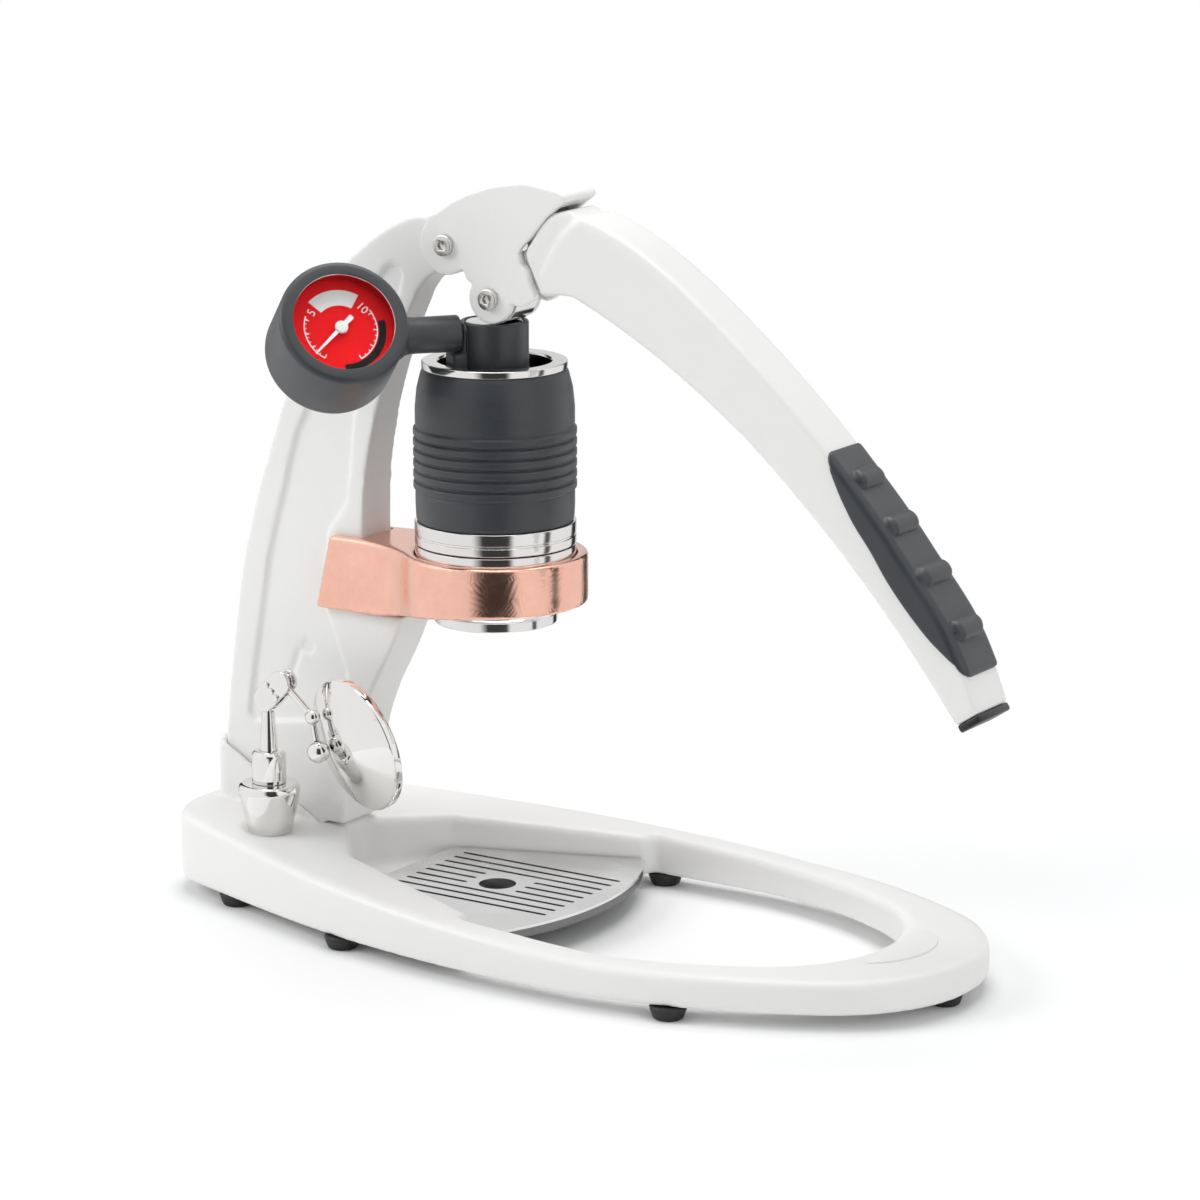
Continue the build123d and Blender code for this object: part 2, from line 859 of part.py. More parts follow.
with BuildPart() as portafilter_gasket:
    with BuildSketch(level(portafilter_top + seat_gap)):
        Circle(basket_flange_radius)
        Circle(basket_radius - basket_wall, mode=Mode.SUBTRACT)
    extrude(amount=gasket_thickness)

save(portafilter_gasket.part, "portafilter_gasket")

with BuildPart() as dispersion_screen:
    with BuildSketch(level(portafilter_top + 2 * seat_gap + gasket_thickness)):
        Circle(basket_flange_radius)
        for ring in range(1, basket_hole_ring_count):
            with PolarLocations(ring * basket_radius / basket_hole_ring_count, holes_per_ring * ring):
                Circle(screen_hole_radius, mode=Mode.SUBTRACT)
    extrude(amount=screen_thickness)

save(dispersion_screen.part, "dispersion_screen")

# Plunger: piston with two seals, a stem and the collar that carries the gauge pipe
with BuildPart() as piston:
    with BuildSketch(side_plane()):
        with BuildLine():
            piston_top = piston_bottom + piston_height
            piston_radius = bore_radius - 2 * running_gap
            Polyline(
                (0, piston_bottom),
                (piston_radius, piston_bottom),
                (piston_radius, piston_top),
                (piston_radius - seal_inset, piston_top),
                (piston_radius - seal_inset, piston_top - piston_height / 2),
                (stem_shoulder_radius, piston_top - piston_height / 2),
                (stem_shoulder_radius, piston_top),
                (stem_radius + running_gap, piston_top),
                (stem_radius + running_gap, piston_bottom + stem_seat),
                (0, piston_bottom + stem_seat),
                close=True,
            )
        make_face()
        groove_run = seal_wire + 2 * running_gap
        seal_heights = (piston_bottom + seal_inset, piston_top - seal_inset)
        seal_places = [(bore_radius - running_gap - seal_wire / 2, z) for z in seal_heights]
        for place in seal_places:
            with Locations(place):
                Rectangle(groove_run, groove_run, mode=Mode.SUBTRACT)
    revolve(axis=brew_axis)

save(piston.part, "piston")

with BuildPart() as piston_seals:
    with BuildSketch(side_plane()):
        with Locations(*seal_places):
            Circle(seal_wire / 2)
    revolve(axis=brew_axis)

save(piston_seals.part, "piston_seals")

with BuildPart() as plunger_stem:
    with BuildSketch(side_plane()):
        with BuildLine():
            Polyline(
                (0, piston_bottom + stem_seat + running_gap),
                (stem_radius, piston_bottom + stem_seat + running_gap),
                (stem_radius, stem_shoulder_height),
                (stem_shoulder_radius, stem_shoulder_height),
                (stem_shoulder_radius, stem_shoulder_height + stem_shoulder_thickness),
                (stem_radius, stem_shoulder_height + stem_shoulder_thickness),
                (stem_radius, stem_top - cap_thickness),
                (cap_radius, stem_top - cap_thickness),
                (cap_radius, stem_top),
                (0, stem_top),
                close=True,
            )
        make_face()
    revolve(axis=brew_axis)
    fillet(plunger_stem.faces().sort_by(Axis.Z)[-1].edges(), bush_wall / 2)

save(plunger_stem.part, "plunger_stem")

pipe_plane = Plane(
    origin=(brew_x, 0, pipe_height),
    x_dir=(sin(radians(pipe_turn)), -cos(radians(pipe_turn)), 0),
    z_dir=(-cos(radians(pipe_turn)), -sin(radians(pipe_turn)), 0),
)
with BuildPart() as plunger_collar:
    with BuildSketch(side_plane()):
        with BuildLine():
            Polyline(
                (stem_radius + running_gap, collar_bottom),
                (collar_radius, collar_bottom),
                (collar_radius, collar_top),
                (cap_radius + running_gap, collar_top),
                (cap_radius + running_gap, stem_top - cap_thickness - running_gap),
                (stem_radius + running_gap, stem_top - cap_thickness - running_gap),
                close=True,
            )
        make_face()
    revolve(axis=brew_axis)
    with BuildSketch(pipe_plane.offset(cap_radius + running_gap)):
        Circle(pipe_radius + running_gap)
    extrude(amount=overrun, mode=Mode.SUBTRACT)

save(plunger_collar.part, "plunger_collar")

with BuildPart() as gauge_elbow:
    with BuildSketch(pipe_plane.offset(collar_radius - bush_wall)):
        with Locations((0, (elbow_bottom + collar_top) / 2 - pipe_height)):
            RectangleRounded(2 * elbow_half_width, collar_top - elbow_bottom, elbow_half_width / 2)
    extrude(amount=boot_arm_start - collar_radius + bush_wall - seat_gap)
    with BuildSketch(pipe_plane.offset(collar_radius - bush_wall)):
        with Locations((0, (elbow_bottom + pipe_height - boot_arm_radius - seat_gap) / 2 - pipe_height)):
            Rectangle(2 * elbow_half_width, pipe_height - boot_arm_radius - seat_gap - elbow_bottom)
    extrude(amount=elbow_reach - collar_radius + bush_wall)
    with BuildSketch(level(elbow_bottom - overrun)):
        Circle(collar_radius + seat_gap)
    extrude(amount=2 * overrun + collar_top - elbow_bottom, mode=Mode.SUBTRACT)
    with BuildSketch(pipe_plane):
        Circle(pipe_radius + running_gap)
    extrude(amount=2 * collar_radius, mode=Mode.SUBTRACT)

save(gauge_elbow.part, "gauge_elbow")

# Gauge: a tilted instrument in a rubber boot, on the pipe from the collar
gauge_normal = Vector(
    sin(radians(pipe_turn)) * cos(radians(gauge_tilt)),
    -cos(radians(pipe_turn)) * cos(radians(gauge_tilt)),
    sin(radians(gauge_tilt)),
)
gauge_right = Vector(cos(radians(pipe_turn)), sin(radians(pipe_turn)), 0)
gauge_origin = (
    Vector(brew_x, 0, pipe_height)
    - gauge_right * gauge_reach
    + gauge_normal * gauge_front
)
gauge_axis = Axis(gauge_origin, gauge_normal)
gauge_section = Plane(origin=gauge_origin, x_dir=gauge_right, z_dir=gauge_right.cross(gauge_normal))


def gauge_plane(drop):
    # Plane square to the gauge axis, behind its front
    return Plane(origin=gauge_origin - gauge_normal * drop, x_dir=gauge_right, z_dir=gauge_normal)


with BuildPart() as gauge_boot:
    with BuildSketch(gauge_section) as boot_section:
        with BuildLine():
            Polyline(
                (0, -boot_depth),
                (boot_radius, -boot_depth),
                (boot_radius, 0),
                (boot_lip_radius, 0),
                (boot_lip_radius, -boot_lip),
                (case_radius + seat_gap, -boot_lip),
                (case_radius + seat_gap, -boot_depth + boot_back),
                (0, -boot_depth + boot_back),
                close=True,
            )
        make_face()
        outer_corners = [v for v in boot_section.vertices() if abs(v.X - boot_radius) < seat_gap]
        fillet([v for v in outer_corners if v.Y < -boot_lip], boot_edge_radius)
        front_corners = [v for v in boot_section.vertices() if v.X > boot_radius - seat_gap]
        fillet([v for v in front_corners if v.Y > -boot_lip], boot_lip / 2)
    revolve(axis=gauge_axis)
    with BuildSketch(pipe_plane.offset(boot_arm_start)):
        Circle(boot_arm_radius)
    extrude(amount=gauge_reach - boot_arm_start - case_radius)
    with BuildSketch(pipe_plane):
        Circle(pipe_radius + running_gap)
    extrude(amount=gauge_reach, mode=Mode.SUBTRACT)

save(gauge_boot.part, "gauge_boot")

with BuildPart() as gauge_case:
    case_bottom = boot_depth - boot_back - running_gap
    lens_seat = bezel_lip + boot_lip / 4
    with BuildSketch(gauge_section):
        with BuildLine():
            Polyline(
                (0, -case_bottom),
                (case_radius, -case_bottom),
                (case_radius, -boot_lip - running_gap),
                (boot_lip_radius - running_gap, -boot_lip - running_gap),
                (boot_lip_radius - running_gap, -boot_lip / 4),
                (dial_radius - bezel_lip, -boot_lip / 4),
                (dial_radius - bezel_lip, -lens_seat),
                (dial_radius + running_gap, -lens_seat),
                (dial_radius + running_gap, -dial_drop - dial_thickness - running_gap),
                (dial_radius - case_wall, -dial_drop - dial_thickness - running_gap),
                (dial_radius - case_wall, -case_bottom + case_wall),
                (0, -case_bottom + case_wall),
                close=True,
            )
        make_face()
    revolve(axis=gauge_axis)
    with BuildSketch(pipe_plane):
        Circle(pipe_radius + running_gap)
    extrude(amount=gauge_reach, mode=Mode.SUBTRACT)

save(gauge_case.part, "gauge_case")

with BuildPart() as gauge_lens:
    with BuildSketch(gauge_plane(lens_seat + running_gap + lens_thickness)):
        Circle(dial_radius)
    extrude(amount=lens_thickness)

save(gauge_lens.part, "gauge_lens")

with BuildPart() as gauge_dial:
    with BuildSketch(gauge_plane(dial_drop + dial_thickness)):
        Circle(dial_radius)
        Circle(spindle_radius + seat_gap, mode=Mode.SUBTRACT)
    extrude(amount=dial_thickness)

save(gauge_dial.part, "gauge_dial")

with BuildPart() as gauge_movement:
    with BuildSketch(gauge_plane(case_bottom - case_wall - running_gap)):
        Rectangle(2 * movement_half, 2 * movement_half)
    extrude(amount=case_bottom - case_wall - dial_drop - dial_thickness - movement_drop)
    with BuildSketch(gauge_plane(0)):
        Circle(spindle_radius + running_gap)
    extrude(amount=-spindle_length - dial_drop - running_gap, mode=Mode.SUBTRACT)
    with BuildSketch(pipe_plane):
        Circle(pipe_radius + running_gap)
    extrude(amount=gauge_reach - movement_half / 2, mode=Mode.SUBTRACT)

save(gauge_movement.part, "gauge_movement")

with BuildPart() as bourdon_tube:
    tube_drop = case_bottom - case_wall - bourdon_wire
    with BuildLine(gauge_plane(tube_drop)) as tube_path:
        CenterArc((0, 0), bourdon_bend_radius, bourdon_from, bourdon_sweep)
    with BuildSketch(Plane(origin=tube_path.line @ 0, z_dir=tube_path.line % 0)):
        Circle(bourdon_wire / 2)
    sweep()
    with BuildSketch(gauge_plane(tube_drop + bourdon_wire / 2)):
        with PolarLocations(bourdon_bend_radius - bourdon_wire, 1, start_angle=bourdon_from):
            Rectangle(2 * bourdon_wire, bourdon_wire)
    extrude(amount=bourdon_wire)
    with BuildSketch(gauge_plane(tube_drop + bourdon_wire)):
        Rectangle(2 * movement_half + 2 * seat_gap, 2 * movement_half + 2 * seat_gap)
    extrude(amount=2 * bourdon_wire, mode=Mode.SUBTRACT)

save(bourdon_tube.part, "bourdon_tube")

with BuildPart() as gauge_needle:
    with BuildSketch(gauge_plane(dial_drop + spindle_length)):
        Circle(spindle_radius)
    extrude(amount=spindle_length + needle_lift)
    with BuildSketch(gauge_plane(dial_drop - needle_lift)):
        with PolarLocations((needle_length - needle_tail) / 2, 1, start_angle=needle_angle):
            Rectangle(needle_length + needle_tail, 2 * needle_half_width)
    extrude(amount=needle_thickness)
    with BuildSketch(gauge_plane(dial_drop - needle_lift)):
        Circle(needle_hub_radius)
    extrude(amount=2 * needle_thickness)

save(gauge_needle.part, "gauge_needle")

with BuildPart() as gauge_pipe:
    with BuildSketch(pipe_plane.offset(cap_radius + 3 * running_gap)):
        Circle(pipe_radius)
        Circle(pipe_bore_radius, mode=Mode.SUBTRACT)
    extrude(amount=gauge_reach - movement_half / 2 - cap_radius - 4 * running_gap)

save(gauge_pipe.part, "gauge_pipe")


# Lever: two side plates with a cover between them, and a curved arm with a rubber grip
lever_pivot = (-pivot_back, pivot_height)
press_place = (press_pin_ahead, press_pin_height)


def from_pivot(shares):
    # Points from shares of the head length and of its rise, measured from the pivot
    return [(-pivot_back + x * head_length, pivot_height + z * head_rise) for x, z in shares]


head_line_shares = (
    (-0.16, 0.38),
    (-0.08, 0.44),
    (0.05, 0.62),
    (0.18, 0.76),
    (0.4, 0.92),
    (0.645, 1.0),
    (0.9, 0.92),
    (1.0, 0.84),
    (0.9, 0.68),
    (0.81, 0.52),
    (0.68, 0.2),
    (0.59, 0.0),
    (0.61, -0.16),
    (0.66, -0.24),
    (0.685, -0.44),
    (0.735, -0.64),
    (0.62, -0.8),
    (0.36, -0.7),
    (0.18, -0.48),
    (0.14, -0.32),
    (0.0, -0.36),
)
with BuildSketch(Plane.XY) as head_outline:
    with BuildLine():
        Polyline(*from_pivot(head_line_shares), close=True)
    make_face()
    fillet(head_outline.vertices(), bush_wall)
    with Locations(lever_pivot):
        Circle(head_ear_radius)
    with Locations(press_place):
        Circle(head_lobe_radius)

with BuildSketch(Plane.XY) as head_hollow:
    with BuildLine():
        hollow_shares = (
            (0.305, 2.0),
            (0.305, 0.56),
            (0.42, 0.66),
            (0.645, 0.72),
            (1.2, 0.6),
            (1.2, -2.0),
            (-1.0, -2.0),
            (-1.0, 2.0),
        )
        Polyline(*from_pivot(hollow_shares), close=True)
    make_face()

with BuildPart() as lever_head:
    with BuildSketch(side_plane(head_half_width)):
        add(head_outline.sketch)
    extrude(amount=2 * head_half_width)
    with BuildSketch(side_plane(plate_gap_half)):
        add(head_hollow.sketch)
    extrude(amount=2 * plate_gap_half, mode=Mode.SUBTRACT)
    with BuildSketch(side_plane(head_half_width)):
        with Locations(lever_pivot, press_place):
            Circle(pin_radius + running_gap)
    extrude(amount=2 * head_half_width, mode=Mode.SUBTRACT)
    dowel_places = from_pivot(((0.75, 0.52), (0.62, 0.1)))
    with BuildSketch(side_plane(dowel_half)):
        with Locations(*dowel_places):
            Circle(dowel_radius + running_gap)
    extrude(amount=2 * dowel_half, mode=Mode.SUBTRACT)

save(lever_head.part, "lever_head")

# Arm: one curved bar with a narrower neck and a tongue between the plates
upper_shares = (
    (0.2145, 1.0595),
    (0.309, 1.028),
    (0.4686, 0.9407),
    (0.628, 0.83),
    (0.7758, 0.7059),
    (0.8575, 0.6269),
    (0.9333, 0.5486),
    (0.9787, 0.4783),
    (1.0, 0.4348),
)
lower_shares = ((0.193, 0.9447), (0.4155, 0.8466), (0.6203, 0.7178), (0.9565, 0.4111))
neck_shares = (
    (0.78, 0.52),
    (0.71, 0.24),
    (0.635, 0.02),
    (0.65, -0.12),
    (0.72, -0.42),
    (0.78, -0.62),
    (1.1, -0.5),
    (1.1, 0.5),
    (0.98, 0.66),
    (0.9, 0.62),
)
tongue_shares = (
    (0.54, 0.44),
    (0.56, -0.2),
    (0.7, -0.55),
    (1.1, -0.5),
    (1.1, 0.5),
    (0.9, 0.54),
    (0.72, 0.52),
)
arm_step_shares = ((0.94, 0.3), (0.828, -0.09), (0.779, -0.284), (0.77, -0.58), (0.89, -0.555))
upper_points = scaled(upper_shares, arm_reach, pivot_height)
lower_points = scaled(lower_shares, arm_reach, pivot_height)
with BuildSketch(Plane.XY) as arm_outline:
    with BuildLine():
        upper_line = Spline(*upper_points)
        lower_arc = ThreePointArc(*lower_points[:3])
        lower_end = TangentArc(lower_arc @ 1, lower_points[3], tangent=lower_arc % 1)
        Line(upper_line @ 1, lower_end @ 1)
        Polyline(upper_line @ 0, *from_pivot(arm_step_shares), lower_arc @ 0)
    make_face()

with BuildPart() as lever_arm:
    with BuildSketch(side_plane(arm_half_width)):
        add(arm_outline.sketch)
    extrude(amount=2 * arm_half_width)
    rims = lever_arm.edges().filter_by(lambda e: abs(abs(e.center().Y) - arm_half_width) < running_gap)
    fillet([e for e in rims if e.length > 2 * arm_half_width], arm_edge_radius / 2)
    with BuildSketch(side_plane(neck_half_width)):
        with BuildLine():
            Polyline(*from_pivot(neck_shares), close=True)
        make_face()
    extrude(amount=2 * neck_half_width)
    with BuildSketch(side_plane(tongue_half_width)):
        with BuildLine():
            Polyline(*from_pivot(tongue_shares), close=True)
        make_face()
    extrude(amount=2 * tongue_half_width)
    with BuildSketch(side_plane(head_half_width)):
        add(head_outline.sketch)
    extrude(amount=head_half_width - tongue_half_width, mode=Mode.SUBTRACT)
    with BuildSketch(side_plane(-tongue_half_width)):
        add(head_outline.sketch)
    extrude(amount=head_half_width - tongue_half_width, mode=Mode.SUBTRACT)
    with BuildSketch(side_plane(dowel_half)):
        with Locations(*dowel_places):
            Circle(dowel_radius + running_gap)
    extrude(amount=2 * dowel_half, mode=Mode.SUBTRACT)

save(lever_arm.part, "lever_arm")

with BuildPart() as lever_dowels:
    with BuildSketch(side_plane(dowel_half - running_gap)):
        with Locations(*dowel_places):
            Circle(dowel_radius)
    extrude(amount=2 * (dowel_half - running_gap))

save(lever_dowels.part, "lever_dowels")

end_line = Vector(*upper_points[-1]) - Vector(*lower_points[3])
end_normal = Vector(end_line.Y, -end_line.X).normalized()
with BuildPart() as lever_end_cap:
    with BuildSketch(side_plane(arm_half_width - end_cap_inset)) as cap_face:
        with BuildLine():
            cap_shift = end_line.normalized() * end_cap_inset
            cap_start = Vector(*lower_points[3]) + end_normal * running_gap + cap_shift
            cap_end = Vector(*upper_points[-1]) + end_normal * running_gap - cap_shift
            Polyline(
                cap_start,
                cap_end,
                cap_end + end_normal * end_cap_thickness,
                cap_start + end_normal * end_cap_thickness,
                close=True,
            )
        make_face()
    extrude(amount=2 * (arm_half_width - end_cap_inset))

save(lever_end_cap.part, "lever_end_cap")

grip_spots = (0.573, 0.609, 0.661, 0.712, 0.763, 0.815, 0.866, 0.907, 0.943)
rib_spots = (0.601, 0.683, 0.772, 0.863)


def outward(share, distance):
    # Point beyond the top of the arm, square to it
    heading = upper_line.tangent_at(share)
    return upper_line.position_at(share) + Vector(-heading.Y, heading.X) * distance


with BuildPart() as grip_pad:
    with BuildSketch(side_plane(arm_half_width + grip_proud)):
        with BuildLine():
            Polyline(
                *[outward(share, grip_proud) for share in grip_spots],
                *scaled(grip_line_shares, arm_reach, pivot_height),
                close=True,
            )
        make_face()
    extrude(amount=2 * (arm_half_width + grip_proud))
    with BuildSketch(side_plane(grip_rib_half)):
        for share in rib_spots:
            rib_place = outward(share, grip_proud - grip_rib_radius + grip_rib_rise)
            with Locations((rib_place.X, rib_place.Y)):
                Circle(grip_rib_radius)
    extrude(amount=2 * grip_rib_half)
    add(lever_arm.part, mode=Mode.SUBTRACT)

save(grip_pad.part, "grip_pad")


def pin_part(place, label):
    # Pin through both plates with a button head at each end
    with BuildPart() as pin:
        with BuildSketch(side_plane(head_half_width + running_gap)):
            with Locations(place):
                Circle(pin_radius)
        extrude(amount=2 * (head_half_width + running_gap))
        for side in (-1, 1):
            with BuildSketch(side_plane(side * (head_half_width + running_gap))):
                with Locations(place):
                    Circle(pin_head_radius)
                    RegularPolygon(hex_radius, 6, mode=Mode.SUBTRACT)
            extrude(amount=-side * pin_head)
            with BuildSketch(side_plane(side * (head_half_width + running_gap))):
                with Locations(place):
                    Circle(pin_head_radius)
            extrude(amount=-side * pin_head / 3)
        fillet(pin.faces().filter_by(Axis.Y).sort_by(Axis.Y)[0].outer_wire().edges(), pin_head / 3)
        fillet(pin.faces().filter_by(Axis.Y).sort_by(Axis.Y)[-1].outer_wire().edges(), pin_head / 3)
    save(pin.part, label)


pin_part(lever_pivot, "pivot_pin")
pin_part(press_place, "press_pin")

with BuildPart() as pivot_bush:
    with BuildSketch(side_plane(tongue_half_width)):
        with Locations(lever_pivot):
            Circle(pin_radius + running_gap + bush_wall)
            Circle(pin_radius + running_gap, mode=Mode.SUBTRACT)
    extrude(amount=2 * tongue_half_width)

save(pivot_bush.part, "pivot_bush")

with BuildPart() as press_roller:
    with BuildSketch(side_plane(tongue_half_width)):
        with Locations(press_place):
            Circle(roller_radius)
            Circle(pin_radius + running_gap, mode=Mode.SUBTRACT)
    extrude(amount=2 * tongue_half_width)

save(press_roller.part, "press_roller")

# Drip tray and the slotted grate that lies on it
with BuildSketch(Plane.XY) as grate_outline:
    with BuildLine():
        grate_arc = ThreePointArc(
            (grate_corner, grate_corner_half),
            (grate_front, 0),
            (grate_corner, -grate_corner_half),
        )
        Polyline(
            grate_arc @ 1,
            (-grate_rear, -grate_rear_half),
            (-grate_rear, grate_rear_half),
            grate_arc @ 0,
        )
    make_face()
    fillet(grate_outline.vertices(), opening_corner_radius)

with BuildPart() as drip_tray:
    tray_bottom = foot_height + floor_thickness + seat_gap
    with BuildSketch(level(tray_bottom)):
        add(grate_outline.sketch)
        offset(amount=-tray_clearance)
    extrude(amount=grate_top - grate_thickness - seat_gap - tray_bottom)
    with BuildSketch(level(tray_bottom + tray_floor)):
        add(grate_outline.sketch)
        offset(amount=-tray_clearance - tray_wall)
    extrude(amount=overrun, mode=Mode.SUBTRACT)

save(drip_tray.part, "drip_tray")

with BuildPart() as drip_grate:
    with BuildSketch(level(grate_top - grate_thickness)):
        add(grate_outline.sketch)
        Circle(grate_hole_radius, mode=Mode.SUBTRACT)
        for row in range(slot_row_count):
            row_y = slot_shift + (row - (slot_row_count - 1) / 2) * slot_pitch
            if abs(row_y) > grate_hole_radius + slot_shift:
                with Locations((slot_centre, row_y)):
                    SlotOverall(2 * slot_reach, 2 * slot_half_width, mode=Mode.SUBTRACT)
            else:
                inner = grate_hole_radius + slot_hole_gap
                for side in (-1, 1):
                    outer = slot_reach + side * slot_centre
                    with Locations((side * (outer + inner) / 2, row_y)):
                        SlotOverall(outer - inner, 2 * slot_half_width, mode=Mode.SUBTRACT)
    extrude(amount=grate_thickness)

save(drip_grate.part, "drip_grate")

# Shot mirror stand on the rear of the base
stand_x = brew_x - stand_back
weight_bottom = stand_level + seat_gap
weight_top = weight_bottom + weight_height
collar_seat = weight_top + running_gap
stem_seat_height = collar_seat + mirror_collar_height
lower_ball = Vector(stand_x, -stand_side, stem_seat_height + mirror_stem_length + ball_rise)
upper_ball = lower_ball + Vector(ball_spacing, 0, ball_spacing) * sqrt(1 / 2)
rod_end = upper_ball + Vector(mirror_rod_run, 0, -mirror_rod_fall)
knob_centre = rod_end + Vector(link_run, 0, -link_fall)
stand_axis = Axis((stand_x, -stand_side, 0), (0, 0, 1))
stand_section = Plane(origin=(stand_x, -stand_side, 0), x_dir=(1, 0, 0), z_dir=(0, -1, 0))

with BuildPart() as mirror_weight:
    with BuildSketch(stand_section) as weight_section:
        with BuildLine():
            Polyline(
                (0, weight_bottom),
                (weight_base_radius, weight_bottom),
                (weight_top_radius, weight_top),
                (mirror_spigot_radius + running_gap, weight_top),
                (mirror_spigot_radius + running_gap, weight_top - mirror_spigot_length),
                (0, weight_top - mirror_spigot_length),
                close=True,
            )
        make_face()
        top_corners = [v for v in weight_section.vertices() if v.X > weight_top_radius - seat_gap]
        fillet(top_corners, weight_edge_radius)
    revolve(axis=stand_axis)

save(mirror_weight.part, "mirror_weight")

with BuildPart() as mirror_collar:
    with BuildSketch(Plane.XY.offset(collar_seat)):
        with Locations((stand_x, -stand_side)):
            Circle(mirror_collar_radius)
            Circle(mirror_spigot_radius + running_gap, mode=Mode.SUBTRACT)
    extrude(amount=mirror_collar_height)
    collar_rim = mirror_collar.faces().sort_by(Axis.Z)[-1].outer_wire().edges()
    fillet(collar_rim, weight_edge_radius / 2)

save(mirror_collar.part, "mirror_collar")

with BuildPart() as mirror_stem:
    with BuildSketch(stand_section):
        with BuildLine():
            stem_start = stem_seat_height + running_gap
            Polyline(
                (0, weight_top - mirror_spigot_length + running_gap),
                (mirror_spigot_radius, weight_top - mirror_spigot_length + running_gap),
                (mirror_spigot_radius, stem_start),
                (mirror_stem_foot_radius, stem_start),
                (mirror_stem_top_radius, stem_start + mirror_stem_length),
                (mirror_rod_radius, stem_start + mirror_stem_length),
                (mirror_rod_radius, lower_ball.Z),
                (0, lower_ball.Z),
                close=True,
            )
        make_face()
    revolve(axis=stand_axis)
    with Locations(lower_ball):
        Sphere(ball_radius)

save(mirror_stem.part, "mirror_stem")

clamp_middle = (lower_ball + upper_ball) * (1 / 2)
with BuildPart() as clamp_plates:
    for side in (-1, 1):
        face_y = -stand_side + side * clamp_half_gap
        clamp_origin = (clamp_middle.X, face_y, clamp_middle.Z)
        clamp_plane = Plane(origin=clamp_origin, x_dir=(1, 0, 1), z_dir=(0, side, 0))
        with BuildSketch(clamp_plane):
            SlotCenterToCenter(ball_spacing, 2 * clamp_half_width)
            for across in (-1, 0, 1):
                with Locations((0, across * clamp_half_width * 2 / 3)):
                    Circle(clamp_screw_radius + running_gap, mode=Mode.SUBTRACT)
        extrude(amount=clamp_plate)
    with Locations(lower_ball, upper_ball):
        Sphere(ball_radius + running_gap, mode=Mode.SUBTRACT)

save(clamp_plates.part, "clamp_plates")

with BuildPart() as clamp_screws:
    for side in (-1, 1):
        face_y = -stand_side + side * (clamp_half_gap + clamp_plate + running_gap)
        head_origin = (clamp_middle.X, face_y, clamp_middle.Z)
        head_plane = Plane(origin=head_origin, x_dir=(1, 0, 1), z_dir=(0, side, 0))
        with BuildSketch(head_plane):
            for across in (-1, 0, 1):
                with Locations((0, across * clamp_half_width * 2 / 3)):
                    Circle(clamp_screw_head_radius)
        extrude(amount=clamp_screw_head)
        with BuildSketch(head_plane):
            for across in (-1, 0, 1):
                with Locations((0, across * clamp_half_width * 2 / 3)):
                    Circle(clamp_screw_radius)
        extrude(amount=-clamp_half_gap - clamp_plate - running_gap)

save(clamp_screws.part, "clamp_screws")

rod_line = rod_end - upper_ball
with BuildPart() as mirror_arm:
    with BuildSketch(Plane(origin=upper_ball, x_dir=(0, -1, 0), z_dir=rod_line.cross(Vector(0, 1, 0)))):
        with BuildLine():
            ball_cut = sqrt(ball_radius ** 2 - mirror_rod_radius ** 2)
            far = rod_line.length
            ThreePointArc((0, -ball_radius), (ball_radius, 0), (mirror_rod_radius, ball_cut))
            Line((mirror_rod_radius, ball_cut), (mirror_rod_radius, far - ball_cut))
            ThreePointArc((mirror_rod_radius, far - ball_cut), (ball_radius, far), (0, far + ball_radius))
            Line((0, far + ball_radius), (0, -ball_radius))
        make_face()
    revolve(axis=Axis(upper_ball, rod_line))

save(mirror_arm.part, "mirror_arm")

mirror_normal = Vector(*mirror_facing).normalized()
mirror_centre = knob_centre + Vector(mirror_ahead, mirror_side, mirror_lift)
dome_radius = (mirror_radius ** 2 + mirror_dome ** 2) / (2 * mirror_dome)
with BuildPart() as mirror_body:
    with BuildSketch(Plane(origin=mirror_centre, z_dir=-mirror_normal)):
        Circle(mirror_radius)
    extrude(amount=mirror_rim + 2 * mirror_dome)
    with Locations(mirror_centre + mirror_normal * (dome_radius - mirror_rim - mirror_dome)):
        Sphere(dome_radius, mode=Mode.INTERSECT)

glass_seat = -glass_thickness - 2 * running_gap
with BuildPart() as mirror_cup:
    add(mirror_body.part)
    with BuildSketch(Plane(origin=mirror_centre + mirror_normal * glass_seat, z_dir=mirror_normal)):
        Circle(mirror_radius - mirror_wall)
    extrude(amount=overrun, mode=Mode.SUBTRACT)

save(mirror_cup.part, "mirror_cup")

with BuildPart() as mirror_glass:
    glass_origin = mirror_centre + mirror_normal * (glass_seat + running_gap)
    with BuildSketch(Plane(origin=glass_origin, z_dir=mirror_normal)):
        Circle(mirror_radius - mirror_wall - running_gap)
    extrude(amount=glass_thickness)

save(mirror_glass.part, "mirror_glass")

with BuildPart() as mirror_knob:
    with Locations(knob_centre):
        Sphere(knob_radius)

with BuildPart() as mirror_link:
    link_line = knob_centre - rod_end
    link_start = rod_end + link_line.normalized() * (ball_radius + seat_gap)
    with BuildSketch(Plane(origin=link_start, z_dir=link_line)):
        Circle(link_radius)
    extrude(amount=link_line.length - ball_radius - seat_gap - knob_radius - seat_gap)

save(mirror_knob.part, "mirror_knob")
save(mirror_link.part, "mirror_link")
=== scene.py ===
from math import cos, pi, radians, sin, sqrt

import bmesh
import bpy
from mathutils import Matrix, Vector


